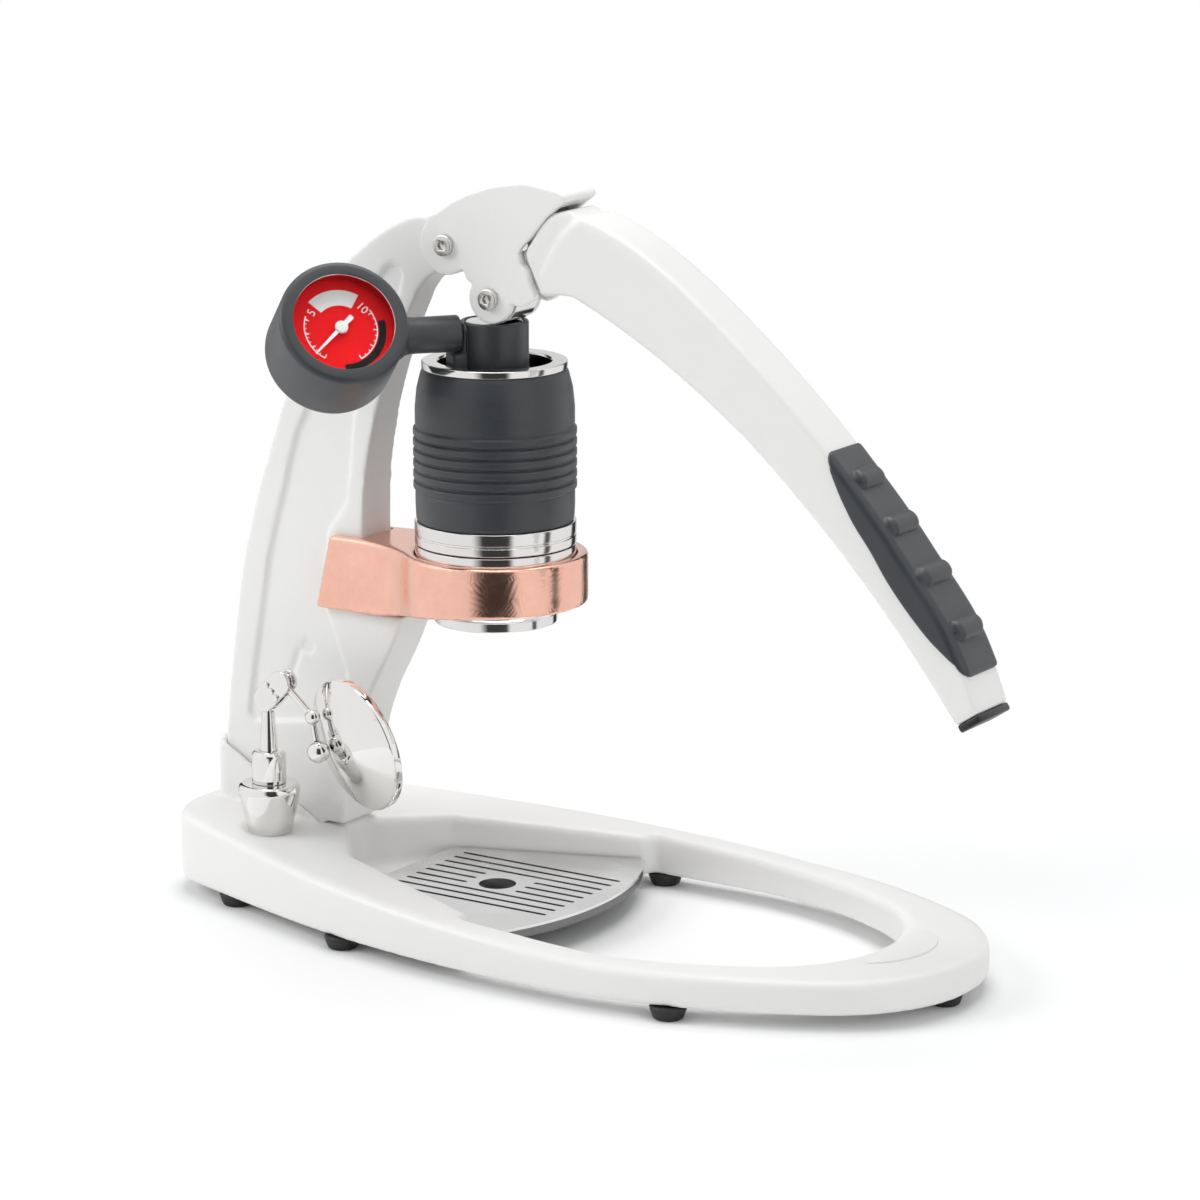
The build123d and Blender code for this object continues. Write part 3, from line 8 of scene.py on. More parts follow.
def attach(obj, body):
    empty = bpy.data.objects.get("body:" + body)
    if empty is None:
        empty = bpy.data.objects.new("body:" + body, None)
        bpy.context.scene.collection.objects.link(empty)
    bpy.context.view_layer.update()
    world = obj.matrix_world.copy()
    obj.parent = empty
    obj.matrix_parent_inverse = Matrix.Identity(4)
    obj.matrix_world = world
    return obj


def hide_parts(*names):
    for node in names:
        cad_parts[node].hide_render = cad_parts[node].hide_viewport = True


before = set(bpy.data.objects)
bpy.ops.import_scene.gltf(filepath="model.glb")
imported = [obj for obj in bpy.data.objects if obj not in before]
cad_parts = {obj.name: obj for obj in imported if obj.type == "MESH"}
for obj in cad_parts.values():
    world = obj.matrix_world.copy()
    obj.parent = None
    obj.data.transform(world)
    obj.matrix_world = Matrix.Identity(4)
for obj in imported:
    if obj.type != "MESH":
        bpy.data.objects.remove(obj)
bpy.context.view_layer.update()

# Base casting: one egg-shaped ring of cast metal under a fine white powder coat.
# The coat has a faint orange-peel skin. Every edge is eased, as the mould and the coat leave it.
mm = 0.001
weld_distance = 0.002 * mm
flat_within = 0.6
tone_low = 0.3
tone_high = 0.7


def wire(tree, *pairs):
    # Link each output to its input
    for start, stop in pairs:
        tree.links.new(start, stop)


def skin_group(name):
    # Empty shader group with the two masks that a finish reads, and the place on the piece
    group = bpy.data.node_groups.new(name, "ShaderNodeTree")
    for label in ("Height", "Tone"):
        group.interface.new_socket(label, in_out="OUTPUT", socket_type="NodeSocketFloat")
    place = group.nodes.new("ShaderNodeTexCoord").outputs["Object"]
    return group, place


def group_input(group, label, value, kind="NodeSocketFloat"):
    socket = group.interface.new_socket(label, in_out="INPUT", socket_type=kind)
    socket.default_value = value


def grain_noise(group, vector, scale, detail, roughness):
    # Soft random pattern; its scale is a number or another node's output
    noise = group.nodes.new("ShaderNodeTexNoise")
    noise.inputs["Detail"].default_value = detail
    noise.inputs["Roughness"].default_value = roughness
    wire(group, (vector, noise.inputs["Vector"]))
    if isinstance(scale, float):
        noise.inputs["Scale"].default_value = scale
    else:
        wire(group, (scale, noise.inputs["Scale"]))
    return noise.outputs["Fac"]


def moulded_skin():
    # Fine pimpled skin and a broad, soft change of tone, for powder coat and rubber
    group, place = skin_group("Moulded Skin")
    group_input(group, "Grain", 900.0)
    group_input(group, "Patches", 22.0)
    given = group.nodes.new("NodeGroupInput").outputs
    result = group.nodes.new("NodeGroupOutput").inputs
    wire(
        group,
        (grain_noise(group, place, given["Grain"], detail=2.0, roughness=0.5), result["Height"]),
        (grain_noise(group, place, given["Patches"], detail=3.0, roughness=0.6), result["Tone"]),
    )
    return group


moulded = moulded_skin()


def finish(name, skin, grain, light, dark, metallic, roughness, spread, bump, depth, sheen=0.0):
    # One finish: a skin group feeding colour, roughness and relief of a plain shader
    material = bpy.data.materials.new(name)
    material.use_nodes = True
    tree = material.node_tree
    shader = tree.nodes["Principled BSDF"]
    shader.inputs["Metallic"].default_value = metallic
    shader.inputs["Sheen Weight"].default_value = sheen
    masks = tree.nodes.new("ShaderNodeGroup")
    masks.node_tree = skin
    for label, value in grain.items():
        masks.inputs[label].default_value = value
    blend = tree.nodes.new("ShaderNodeMix")
    blend.data_type = "RGBA"
    blend.inputs[6].default_value = (*dark, 1.0)
    blend.inputs[7].default_value = (*light, 1.0)
    rough = tree.nodes.new("ShaderNodeMapRange")
    rough.inputs["From Min"].default_value = tone_low
    rough.inputs["From Max"].default_value = tone_high
    rough.inputs["To Min"].default_value = roughness - spread
    rough.inputs["To Max"].default_value = roughness + spread
    relief = tree.nodes.new("ShaderNodeBump")
    relief.inputs["Strength"].default_value = bump
    relief.inputs["Distance"].default_value = depth
    wire(
        tree,
        (masks.outputs["Tone"], blend.inputs[0]),
        (blend.outputs[2], shader.inputs["Base Color"]),
        (masks.outputs["Tone"], rough.inputs["Value"]),
        (rough.outputs["Result"], shader.inputs["Roughness"]),
        (masks.outputs["Height"], relief.inputs["Height"]),
        (relief.outputs["Normal"], shader.inputs["Normal"]),
    )
    return material


powder_coat = finish(
    "White Powder Coat", moulded, {"Grain": 1100.0, "Patches": 16.0},
    light=(0.86, 0.855, 0.84), dark=(0.835, 0.83, 0.815),
    metallic=0.0, roughness=0.42, spread=0.05, bump=0.3, depth=0.00015,
)


def put(name, data):
    # New object at the origin
    thing = bpy.data.objects.new(name, data)
    bpy.context.scene.collection.objects.link(thing)
    return thing


def merged_copy(node, flatten):
    # A copy of a CAD node with its loose triangles joined, and its flat faces made whole if asked
    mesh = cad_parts[node].data.copy()
    work = bmesh.new()
    work.from_mesh(mesh)
    bmesh.ops.remove_doubles(work, verts=work.verts, dist=weld_distance)
    if flatten:
        bmesh.ops.dissolve_limit(work, angle_limit=radians(flat_within), verts=work.verts, edges=work.edges)
    work.to_mesh(mesh)
    work.free()
    return put(node + "_rough", mesh)


def finished_mesh(rough):
    # The plain mesh that an object's modifiers make; the object itself goes
    graph = bpy.context.evaluated_depsgraph_get()
    made = bpy.data.meshes.new_from_object(rough.evaluated_get(graph))
    bpy.data.objects.remove(rough)
    return made


def stand_for(mesh, name, nodes, body, material, crease=30.0):
    # Shade a finished mesh, and let it ride on its body and stand for its CAD nodes
    piece = put(name, mesh)
    mesh.materials.clear()
    mesh.materials.append(material)
    for face in mesh.polygons:
        face.material_index = 0
        face.use_smooth = True
    if crease < 180:
        mesh.set_sharp_from_angle(angle=radians(crease))
    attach(piece, body)
    if nodes:
        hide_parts(*nodes)


def softened(node, body, material, grid, passes):
    # A cast node with every edge eased
    rough = merged_copy(node, flatten=False)
    knit = rough.modifiers.new("knit", "REMESH")
    knit.mode = "VOXEL"
    knit.voxel_size = grid * mm
    ease = rough.modifiers.new("ease", "SMOOTH")
    ease.factor = 0.5
    ease.iterations = passes
    stand_for(finished_mesh(rough), node + "_cast", (node,), body, material, crease=180.0)


softened("base_casting", "base", powder_coat, grid=1.15, passes=12)

# Nose pad: a thin inlay let into the front of the ring, coated like the casting.
# Its edges are broken by a small bevel.
sharp_from = 32.0


def eased(node, body, material, width, segments=3):
    # A CAD node with only its sharp edges rounded
    rough = merged_copy(node, flatten=True)
    ease = rough.modifiers.new("ease", "BEVEL")
    ease.width = width * mm
    ease.segments = segments
    ease.limit_method = "ANGLE"
    ease.angle_limit = radians(sharp_from)
    ease.miter_outer = "MITER_ARC"
    ease.use_clamp_overlap = False
    stand_for(finished_mesh(rough), node + "_shaped", (node,), body, material, crease=34.0)


eased("nose_pad", "base", powder_coat, width=0.15)

# Feet: black rubber pads pressed into the underside of the ring.
# They are moulded with a slight taper and a rounded lower edge.
black_rubber = finish(
    "Black Foot Rubber", moulded, {"Grain": 1500.0, "Patches": 60.0},
    light=(0.022, 0.022, 0.023), dark=(0.014, 0.014, 0.015),
    metallic=0.0, roughness=0.6, spread=0.06, bump=0.4, depth=0.0002,
)
eased("rubber_feet", "base", black_rubber, width=0.9)

# Post: a cast web with a sunk panel on each side, coated like the ring and bolted into its socket.
# Two turned bolts hold it from below; two dark screws hold the bracket to it.
softened("post", "base", powder_coat, grid=0.8, passes=8)


def brushed_skin():
    # Long thin lines along one direction, for brushed and turned metal
    group, place = skin_group("Brushed Skin")
    group_input(group, "Stretch", (1.0, 1.0, 1.0), "NodeSocketVector")
    given = group.nodes.new("NodeGroupInput").outputs
    result = group.nodes.new("NodeGroupOutput").inputs
    stretch = group.nodes.new("ShaderNodeVectorMath")
    stretch.operation = "MULTIPLY"
    wire(
        group,
        (place, stretch.inputs[0]),
        (given["Stretch"], stretch.inputs[1]),
        (grain_noise(group, stretch.outputs[0], scale=1.0, detail=4.0, roughness=0.65), result["Height"]),
        (grain_noise(group, place, scale=30.0, detail=3.0, roughness=0.6), result["Tone"]),
    )
    return group


def dress(node, material):
    # A CAD node that keeps its own shape and takes a finish
    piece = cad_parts[node]
    piece.data.materials.clear()
    piece.data.materials.append(material)
    for face in piece.data.polygons:
        face.material_index = 0


brushed = brushed_skin()
turned_steel = finish(
    "Turned Steel", brushed, {"Stretch": (120.0, 120.0, 5200.0)},
    light=(0.82, 0.81, 0.80), dark=(0.70, 0.69, 0.68),
    metallic=1.0, roughness=0.1, spread=0.03, bump=0.08, depth=0.00005,
)
dark_steel = finish(
    "Dark Steel", moulded, {"Grain": 1800.0, "Patches": 40.0},
    light=(0.055, 0.057, 0.06), dark=(0.035, 0.036, 0.04),
    metallic=0.9, roughness=0.38, spread=0.06, bump=0.2, depth=0.0001,
)
dress("post_bolts", turned_steel)
eased("bracket_screws", "base", dark_steel, width=0.25)

# Bracket: a thick plate wrapped round the post and bored for the portafilter, plated in copper.
# The satin plate shows soft swirls and fine scratches.


def swirled_skin():
    # Small patches, each with fine lines in a direction of its own, for hand-polished plate
    group, place = skin_group("Swirled Skin")
    group_input(group, "Patches", 160.0)
    group_input(group, "Lines", 2600.0)
    given = group.nodes.new("NodeGroupInput").outputs
    result = group.nodes.new("NodeGroupOutput").inputs
    cells = group.nodes.new("ShaderNodeTexVoronoi")
    heading = group.nodes.new("ShaderNodeVectorMath")
    heading.operation = "SUBTRACT"
    heading.inputs[1].default_value = (0.5, 0.5, 0.5)
    across = group.nodes.new("ShaderNodeVectorMath")
    across.operation = "DOT_PRODUCT"
    close = group.nodes.new("ShaderNodeMath")
    close.operation = "MULTIPLY"
    wave = group.nodes.new("ShaderNodeMath")
    wave.operation = "SINE"
    wire(
        group,
        (place, cells.inputs["Vector"]),
        (given["Patches"], cells.inputs["Scale"]),
        (cells.outputs["Color"], heading.inputs[0]),
        (heading.outputs[0], across.inputs[0]),
        (place, across.inputs[1]),
        (across.outputs["Value"], close.inputs[0]),
        (given["Lines"], close.inputs[1]),
        (close.outputs[0], wave.inputs[0]),
        (wave.outputs[0], result["Height"]),
        (grain_noise(group, place, scale=90.0, detail=6.0, roughness=0.7), result["Tone"]),
    )
    return group


copper_plate = finish(
    "Satin Copper", swirled_skin(), {"Patches": 170.0, "Lines": 9000.0},
    light=(0.99, 0.61, 0.49), dark=(0.80, 0.42, 0.32),
    metallic=1.0, roughness=0.2, spread=0.09, bump=0.16, depth=0.00005,
)
softened("portafilter_bracket", "base", copper_plate, grid=0.6, passes=16)

# Brew cylinder: a turned steel tube with a rim on top and a two-step band at the bottom.
# The band and rim are polished; the barrel between them is under the sleeve.
# Its profile is in millimetres: distance from the axis, height, and the radius of the corner.
brew_x = -40.1 * mm
over_brew_axis = Matrix.Translation((brew_x, 0, 0))
corner_steps = 5
around = 160
cylinder_profile = [
    (20.7, 149.0, 0), (23.9, 149.0, 0), (23.9, 143.6, 0), (29.7, 143.6, 0.5), (29.7, 146.6, 0.3),
    (29.3, 146.9, 0.2), (29.3, 147.4, 0.2), (29.7, 147.7, 0.3), (29.7, 152.0, 0.5), (25.2, 152.0, 0),
    (25.2, 208.4, 0), (26.7, 208.4, 0.3), (26.7, 211.0, 0.5), (21.3, 211.0, 0.4), (20.7, 210.2, 0.4),
    (20.7, 205.8, 0),
]


def rounded(points):
    # A closed profile with each corner turned on its own radius
    out = []
    for number, (x, z, radius) in enumerate(points):
        here = Vector((x, z))
        to_last = Vector(points[number - 1][:2]) - here
        to_next = Vector(points[(number + 1) % len(points)][:2]) - here
        back = to_last.normalized()
        ahead = to_next.normalized()
        if radius <= 0 or abs(back.dot(ahead)) > 0.9995:
            out.append(here)
            continue
        half = back.angle(ahead) / 2
        reach = min(radius * cos(half) / sin(half), 0.49 * to_last.length, 0.49 * to_next.length)
        radius = reach * sin(half) / cos(half)
        middle = here + (back + ahead).normalized() * (radius / sin(half))
        start = here + back * reach - middle
        turn = start.angle_signed(here + ahead * reach - middle)
        for step in range(corner_steps + 1):
            out.append(middle + Matrix.Rotation(-turn * step / corner_steps, 2) @ start)
    return out


def mesh_of(work, name):
    # A plain mesh from a finished edit mesh
    mesh = bpy.data.meshes.new(name)
    work.to_mesh(mesh)
    work.free()
    return mesh


def turned(points, segments=128, place=Matrix.Identity(4)):
    # Closed mesh turned about the Z axis from a closed half profile
    work = bmesh.new()
    rings = []
    for x, z in rounded(points):
        ring = []
        for step in range(segments if x >= 0.001 else 1):
            angle = 2 * pi * step / segments
            ring.append(work.verts.new((x * cos(angle) * mm, x * sin(angle) * mm, z * mm)))
        rings.append(ring)
    for number, ring in enumerate(rings):
        following = rings[(number + 1) % len(rings)]
        for step in range(segments):
            corners = []
            for circle, spot in ((ring, step), (ring, step + 1), (following, step + 1), (following, step)):
                corner = circle[spot % len(circle)]
                if corner not in corners:
                    corners.append(corner)
            if len(corners) > 2:
                work.faces.new(corners)
    bmesh.ops.remove_doubles(work, verts=work.verts, dist=0.0005 * mm)
    bmesh.ops.recalc_face_normals(work, faces=work.faces)
    work.transform(place)
    return mesh_of(work, "turned")


stand_for(
    turned(cylinder_profile, around, over_brew_axis),
    "brew_cylinder_turned", ("brew_cylinder",), "base", turned_steel,
)

# Sleeve: dark slate silicone stretched over the barrel so that it can be held when hot.
# It is moulded with a band of grip ribs and draws in under the rim.
slate_silicone = finish(
    "Slate Silicone", moulded, {"Grain": 1700.0, "Patches": 38.0},
    light=(0.040, 0.044, 0.050), dark=(0.029, 0.033, 0.037),
    metallic=0.0, roughness=0.42, spread=0.06, bump=0.3, depth=0.00015, sheen=0.12,
)
rib_count = 6
rib_pitch = 3.95
first_rib = 165.4
rib_foot = 28.9
rib_top = 29.95
sleeve_profile = [
    (25.3, 208.25, 0.2), (25.3, 152.1, 0.2), (28.6, 152.1, 0.5), (29.0, 153.5, 0.6), (29.2, 158.0, 3.0),
    (29.2, 162.6, 0.6),
]
for rib in range(rib_count):
    middle = first_rib + rib_pitch * rib
    sleeve_profile += [
        (rib_foot, middle - 1.75, 0.35), (rib_top, middle - 1.15, 0.7),
        (rib_top, middle + 1.15, 0.7), (rib_foot, middle + 1.75, 0.35),
    ]
sleeve_profile += [
    (29.2, 188.2, 0.6), (29.2, 194.0, 6.0), (28.5, 201.0, 12.0), (27.1, 206.6, 6.0), (26.3, 208.25, 0.6),
]
stand_for(
    turned(sleeve_profile, around, over_brew_axis),
    "brew_sleeve_moulded", ("brew_sleeve",), "base", slate_silicone,
)

# Portafilter: a turned steel body without a spout, held by its rim in the bracket ring.
# The basket, screen and gasket sit in it under the cylinder.
portafilter_profile = [
    (21.4, 114.0, 0.3), (22.7, 114.0, 0.5), (22.7, 117.6, 0.4), (23.6, 118.0, 0.4), (25.2, 119.4, 0.4),
    (25.2, 126.85, 0), (29.6, 126.85, 0.3), (29.6, 143.2, 0.6), (23.9, 143.2, 0.2), (23.9, 141.7, 0),
    (21.4, 141.7, 0),
]
stand_for(
    turned(portafilter_profile, around, over_brew_axis),
    "portafilter_turned", ("portafilter_body",), "base", turned_steel,
)
dress("filter_basket", turned_steel)
dress("dispersion_screen", turned_steel)
dress("portafilter_gasket", slate_silicone)

# Plunger: a steel stem with a broad cap, and a piston with two seals inside the cylinder.
# The press roller of the lever bears on the cap.
stem_profile = [
    (0, 153.1, 0), (6.0, 153.1, 0.3), (6.0, 187.0, 0), (9.5, 187.0, 0.5), (9.5, 190.0, 0.5), (6.0, 190.0, 0),
    (6.0, 221.45, 0), (10.8, 221.45, 0), (10.8, 225.45, 1.0), (0, 225.45, 0),
]
stand_for(
    turned(stem_profile, place=over_brew_axis),
    "plunger_stem_turned", ("plunger_stem",), "plunger", turned_steel,
)
dress("piston", turned_steel)
dress("piston_seals", slate_silicone)

# Collar and pipe: a dark satin tube turns on the stem and carries the gauge on a steel pipe.
# The tube shows above the cylinder rim and stops short of the lever lobes.
collar_profile = [
    (6.05, 190.3, 0), (12.5, 190.3, 0.6), (12.5, 225.6, 0.7), (10.85, 225.6, 0.2), (10.85, 221.4, 0),
    (6.05, 221.4, 0),
]
stand_for(
    turned(collar_profile, place=over_brew_axis),
    "plunger_collar_turned", ("plunger_collar",), "gauge_swivel", slate_silicone,
)
eased("gauge_elbow", "gauge_swivel", slate_silicone, width=1.2)
dress("gauge_pipe", turned_steel)

# Gauge boot: a thick silicone cover with a flat lip round the glass and a sleeve over the pipe.
# It is moulded in one, so the sleeve flows into the cup on a soft radius.
# The gauge's own frame has its origin in the middle of the lip, with Z out of the dial.
pipe_turn = radians(50.0)
gauge_tilt = radians(33.0)
pipe_height = 221.3 * mm
gauge_reach = 59.2 * mm
lip_rise = 16.5 * mm
gauge_right = Vector((cos(pipe_turn), sin(pipe_turn), 0))
gauge_normal = Vector((sin(pipe_turn) * cos(gauge_tilt), -cos(pipe_turn) * cos(gauge_tilt), sin(gauge_tilt)))
gauge_up = gauge_normal.cross(gauge_right)
pipe_start = Vector((brew_x, 0, pipe_height))
gauge_front = pipe_start - gauge_right * gauge_reach + gauge_normal * lip_rise
gauge_axes = Matrix((gauge_right, gauge_up, gauge_normal)).transposed().to_4x4()
gauge_place = Matrix.Translation(gauge_front) @ gauge_axes
pipe_place = Matrix.Translation(pipe_start) @ (-gauge_right).to_track_quat("Z", "Y").to_matrix().to_4x4()
cup_profile = [
    (0, -33.0, 0), (23.6, -33.0, 5.0), (23.6, 0, 2.2), (18.5, 0, 0.4), (18.5, -0.42, 0.1), (19.9, -0.42, 0),
    (19.9, -2.0, 0), (21.5, -2.0, 0), (21.5, -30.4, 0), (0, -30.4, 0),
]
pipe_sleeve_profile = [
    (3.3, 13.5, 0.2), (6.75, 13.5, 1.0), (6.6, 30.0, 12.0), (7.0, 34.0, 3.0), (9.6, 37.4, 2.0),
    (3.3, 37.4, 0),
]


def joined(name, meshes, place=Matrix.Identity(4)):
    # Several meshes as one, put in their place
    work = bmesh.new()
    for mesh in meshes:
        work.from_mesh(mesh)
    work.transform(place)
    return mesh_of(work, name)


boot = joined("boot", (turned(cup_profile, around, gauge_place), turned(pipe_sleeve_profile, 96, pipe_place)))
stand_for(
    boot, "gauge_boot_moulded", ("gauge_boot",), "gauge_swivel", slate_silicone, crease=40.0,
)

# Gauge case: a drawn steel can with a narrow bezel over the glass.
# Inside are the bronze movement and its curved tube, seen only with the case open.
case_profile = [
    (0, -30.35, 0), (21.4, -30.35, 1.0), (21.4, -2.05, 0), (19.85, -2.05, 0), (19.85, -0.5, 0.3),
    (18.4, -0.5, 0.3), (18.4, -1.5, 0), (19.45, -1.5, 0), (19.45, -7.65, 0), (18.4, -7.65, 0),
    (18.4, -29.35, 0), (0, -29.35, 0),
]
stand_for(
    turned(case_profile, place=gauge_place),
    "gauge_case_drawn", ("gauge_case",), "gauge_swivel", turned_steel,
)
bronze = finish(
    "Plain Bronze", moulded, {"Grain": 700.0, "Patches": 60.0},
    light=(0.62, 0.42, 0.2), dark=(0.5, 0.33, 0.16),
    metallic=1.0, roughness=0.35, spread=0.06, bump=0.2, depth=0.0001,
)
dress("gauge_movement", bronze)
dress("bourdon_tube", bronze)

# Gauge lens: a flat disc of clear glass, pressed in under the bezel.
# It bends light very little, and lets the lamps through to the dial.
clear_glass = finish(
    "Clear Lens", moulded, {"Grain": 300.0, "Patches": 45.0},
    light=(1.0, 1.0, 1.0), dark=(0.97, 0.975, 0.975),
    metallic=0.0, roughness=0.015, spread=0.012, bump=0.0, depth=0.00001,
)


def mixed(tree, share, first, second):
    # Two shaders shared out by a mask
    both = tree.nodes.new("ShaderNodeMixShader")
    wire(tree, (share, both.inputs[0]), (first, both.inputs[1]), (second, both.inputs[2]))
    return both.outputs[0]


tree = clear_glass.node_tree
glass_shader = tree.nodes["Principled BSDF"]
glass_shader.inputs["IOR"].default_value = 1.12
glass_shader.inputs["Transmission Weight"].default_value = 1.0
in_shadow = tree.nodes.new("ShaderNodeLightPath").outputs["Is Shadow Ray"]
clear = tree.nodes.new("ShaderNodeBsdfTransparent")
glass = mixed(tree, in_shadow, glass_shader.outputs[0], clear.outputs[0])
wire(tree, (glass, tree.nodes["Material Output"].inputs["Surface"]))
dress("gauge_lens", clear_glass)

# Dial: a red printed disc with a white field at the top, a black field at the lower right and a scale.
# The print stands as thin layers just above the disc, in the gauge's frame and in millimetres.


def plain_paint(name, colour):
    # Matt printing ink, which hardly mirrors the room
    ink = finish(
        name, moulded, {"Grain": 2500.0, "Patches": 90.0},
        light=colour, dark=tuple(0.94 * part for part in colour),
        metallic=0.0, roughness=0.5, spread=0.04, bump=0.1, depth=0.00005,
    )
    ink.node_tree.nodes["Principled BSDF"].inputs["Specular IOR Level"].default_value = 0.08
    return ink


dial_red = plain_paint("Dial Red", (0.88, 0.004, 0.008))
print_white = plain_paint("Dial White", (0.88, 0.88, 0.87))
print_black = plain_paint("Dial Black", (0.01, 0.01, 0.011))
dress("gauge_dial", dial_red)
ink_thickness = 0.05
field_height = -6.93
scale_height = -6.9
sector_steps = 30


def sector(inner, outer, start, stop):
    # Part of a flat ring between two angles, as rows of an inner and an outer point
    rows = []
    for step in range(sector_steps + 1):
        angle = radians(start + (stop - start) * step / sector_steps)
        rows.append([(radius * cos(angle), radius * sin(angle)) for radius in (inner, outer)])
    return rows


def dial_layer(name, sectors, height, material):
    # Thin printed fields, closed all round
    work = bmesh.new()
    for points in sectors:
        rows = []
        for inner, outer in points:
            low = height - ink_thickness
            corners = ((*inner, height), (*outer, height), (*outer, low), (*inner, low))
            rows.append([work.verts.new([length * mm for length in corner]) for corner in corners])
        work.faces.new(rows[0])
        work.faces.new(rows[-1][::-1])
        for first, second in zip(rows, rows[1:]):
            for corner in range(4):
                other = (corner + 1) % 4
                work.faces.new([first[corner], second[corner], second[other], first[other]])
    bmesh.ops.recalc_face_normals(work, faces=work.faces)
    work.transform(gauge_place)
    stand_for(mesh_of(work, name), name, (), "gauge_swivel", material)


dial_layer("dial_white_field", [sector(9.0, 15.0, 57, 134)], field_height, print_white)
dial_layer("dial_black_field", [sector(13.9, 16.6, -92, 9)], field_height, print_black)
scale_arcs = [sector(13.1, 13.5, 156, 236), sector(13.1, 13.5, -64, 30)]
dial_layer("dial_scale", scale_arcs, scale_height, print_white)

# Scale marks: long and short white marks on the inside of the scale, printed with it.
# Each row of marks grows from a count, a first angle, a step, a radius and the size of one mark.


def scale_marks_tree():
    tree = bpy.data.node_groups.new("Scale Marks", "GeometryNodeTree")
    for label, kind in (
        ("Count", "NodeSocketInt"), ("Start", "NodeSocketFloat"), ("Step", "NodeSocketFloat"),
        ("Radius", "NodeSocketFloat"), ("Size", "NodeSocketVector"), ("Ink", "NodeSocketMaterial"),
    ):
        tree.interface.new_socket(label, in_out="INPUT", socket_type=kind)
    tree.interface.new_socket("Geometry", in_out="OUTPUT", socket_type="NodeSocketGeometry")
    given = tree.nodes.new("NodeGroupInput").outputs
    points = tree.nodes.new("GeometryNodePoints")
    number = tree.nodes.new("GeometryNodeInputIndex")
    angle = tree.nodes.new("ShaderNodeMath")
    angle.operation = "MULTIPLY_ADD"
    spin = tree.nodes.new("ShaderNodeCombineXYZ")
    out = tree.nodes.new("ShaderNodeCombineXYZ")
    turned_out = tree.nodes.new("ShaderNodeVectorRotate")
    turned_out.rotation_type = "EULER_XYZ"
    mark = tree.nodes.new("GeometryNodeMeshCube")
    spread = tree.nodes.new("GeometryNodeInstanceOnPoints")
    real = tree.nodes.new("GeometryNodeRealizeInstances")
    inked = tree.nodes.new("GeometryNodeSetMaterial")
    wire(
        tree,
        (given["Count"], points.inputs["Count"]),
        (number.outputs["Index"], angle.inputs[0]),
        (given["Step"], angle.inputs[1]),
        (given["Start"], angle.inputs[2]),
        (angle.outputs[0], spin.inputs["Z"]),
        (given["Radius"], out.inputs["X"]),
        (out.outputs[0], turned_out.inputs["Vector"]),
        (spin.outputs[0], turned_out.inputs["Rotation"]),
        (turned_out.outputs[0], points.inputs["Position"]),
        (points.outputs[0], spread.inputs["Points"]),
        (given["Size"], mark.inputs["Size"]),
        (mark.outputs["Mesh"], spread.inputs["Instance"]),
        (spin.outputs[0], spread.inputs["Rotation"]),
        (spread.outputs[0], real.inputs[0]),
        (real.outputs[0], inked.inputs["Geometry"]),
        (given["Ink"], inked.inputs["Material"]),
        (inked.outputs[0], tree.nodes.new("NodeGroupOutput").inputs[0]),
    )
    return tree


long_mark = (1.6, 0.4, ink_thickness)
short_mark = (0.8, 0.26, ink_thickness)
marks_tree = scale_marks_tree()
mark_rows = []
for count, start, step, radius, size in (
    (4, 236.0, -24.6, 12.6, long_mark), (9, 226.0, -8.2, 12.8, short_mark),
    (4, -64.0, 29.4, 12.6, long_mark), (10, -54.2, 9.8, 12.8, short_mark),
):
    carrier = put("marks", bpy.data.meshes.new("marks"))
    grow = carrier.modifiers.new("marks", "NODES")
    grow.node_group = marks_tree
    wanted = {
        "Count": count, "Start": radians(start), "Step": radians(step), "Radius": radius * mm,
        "Size": [length * mm for length in size], "Ink": print_white,
    }
    for socket in marks_tree.interface.items_tree:
        if socket.in_out == "INPUT":
            grow[socket.identifier] = wanted[socket.name]
    mark_rows.append(finished_mesh(carrier))
marks = joined("dial_marks", mark_rows, gauge_place @ Matrix.Translation((0, 0, scale_height * mm)))
stand_for(marks, "dial_marks", (), "gauge_swivel", print_white)

# Figures: two white numbers, printed beside the white field, that count the pressure.
# They stand with their feet to the middle of the dial.
figure_size = 4.4
figure_height = -6.86
figure_meshes = []
for text, angle, radius in (("5", 146.0, 11.8), ("10", 40.0, 11.6)):
    curve = bpy.data.curves.new("figure", "FONT")
    curve.body = text
    curve.size = figure_size
    curve.extrude = 0.02
    curve.resolution_u = 4
    curve.align_x = "CENTER"
    curve.align_y = "CENTER"
    figure = finished_mesh(put("figure", curve))
    turn = radians(angle)
    spot = Vector((radius * cos(turn), radius * sin(turn), figure_height)) * mm
    upright = Matrix.Rotation(turn - pi / 2, 4, "Z")
    figure.transform(gauge_place @ Matrix.Translation(spot) @ upright @ Matrix.Scale(mm, 4))
    figure_meshes.append(figure)
stand_for(joined("figures", figure_meshes), "dial_figures", (), "gauge_swivel", print_white)

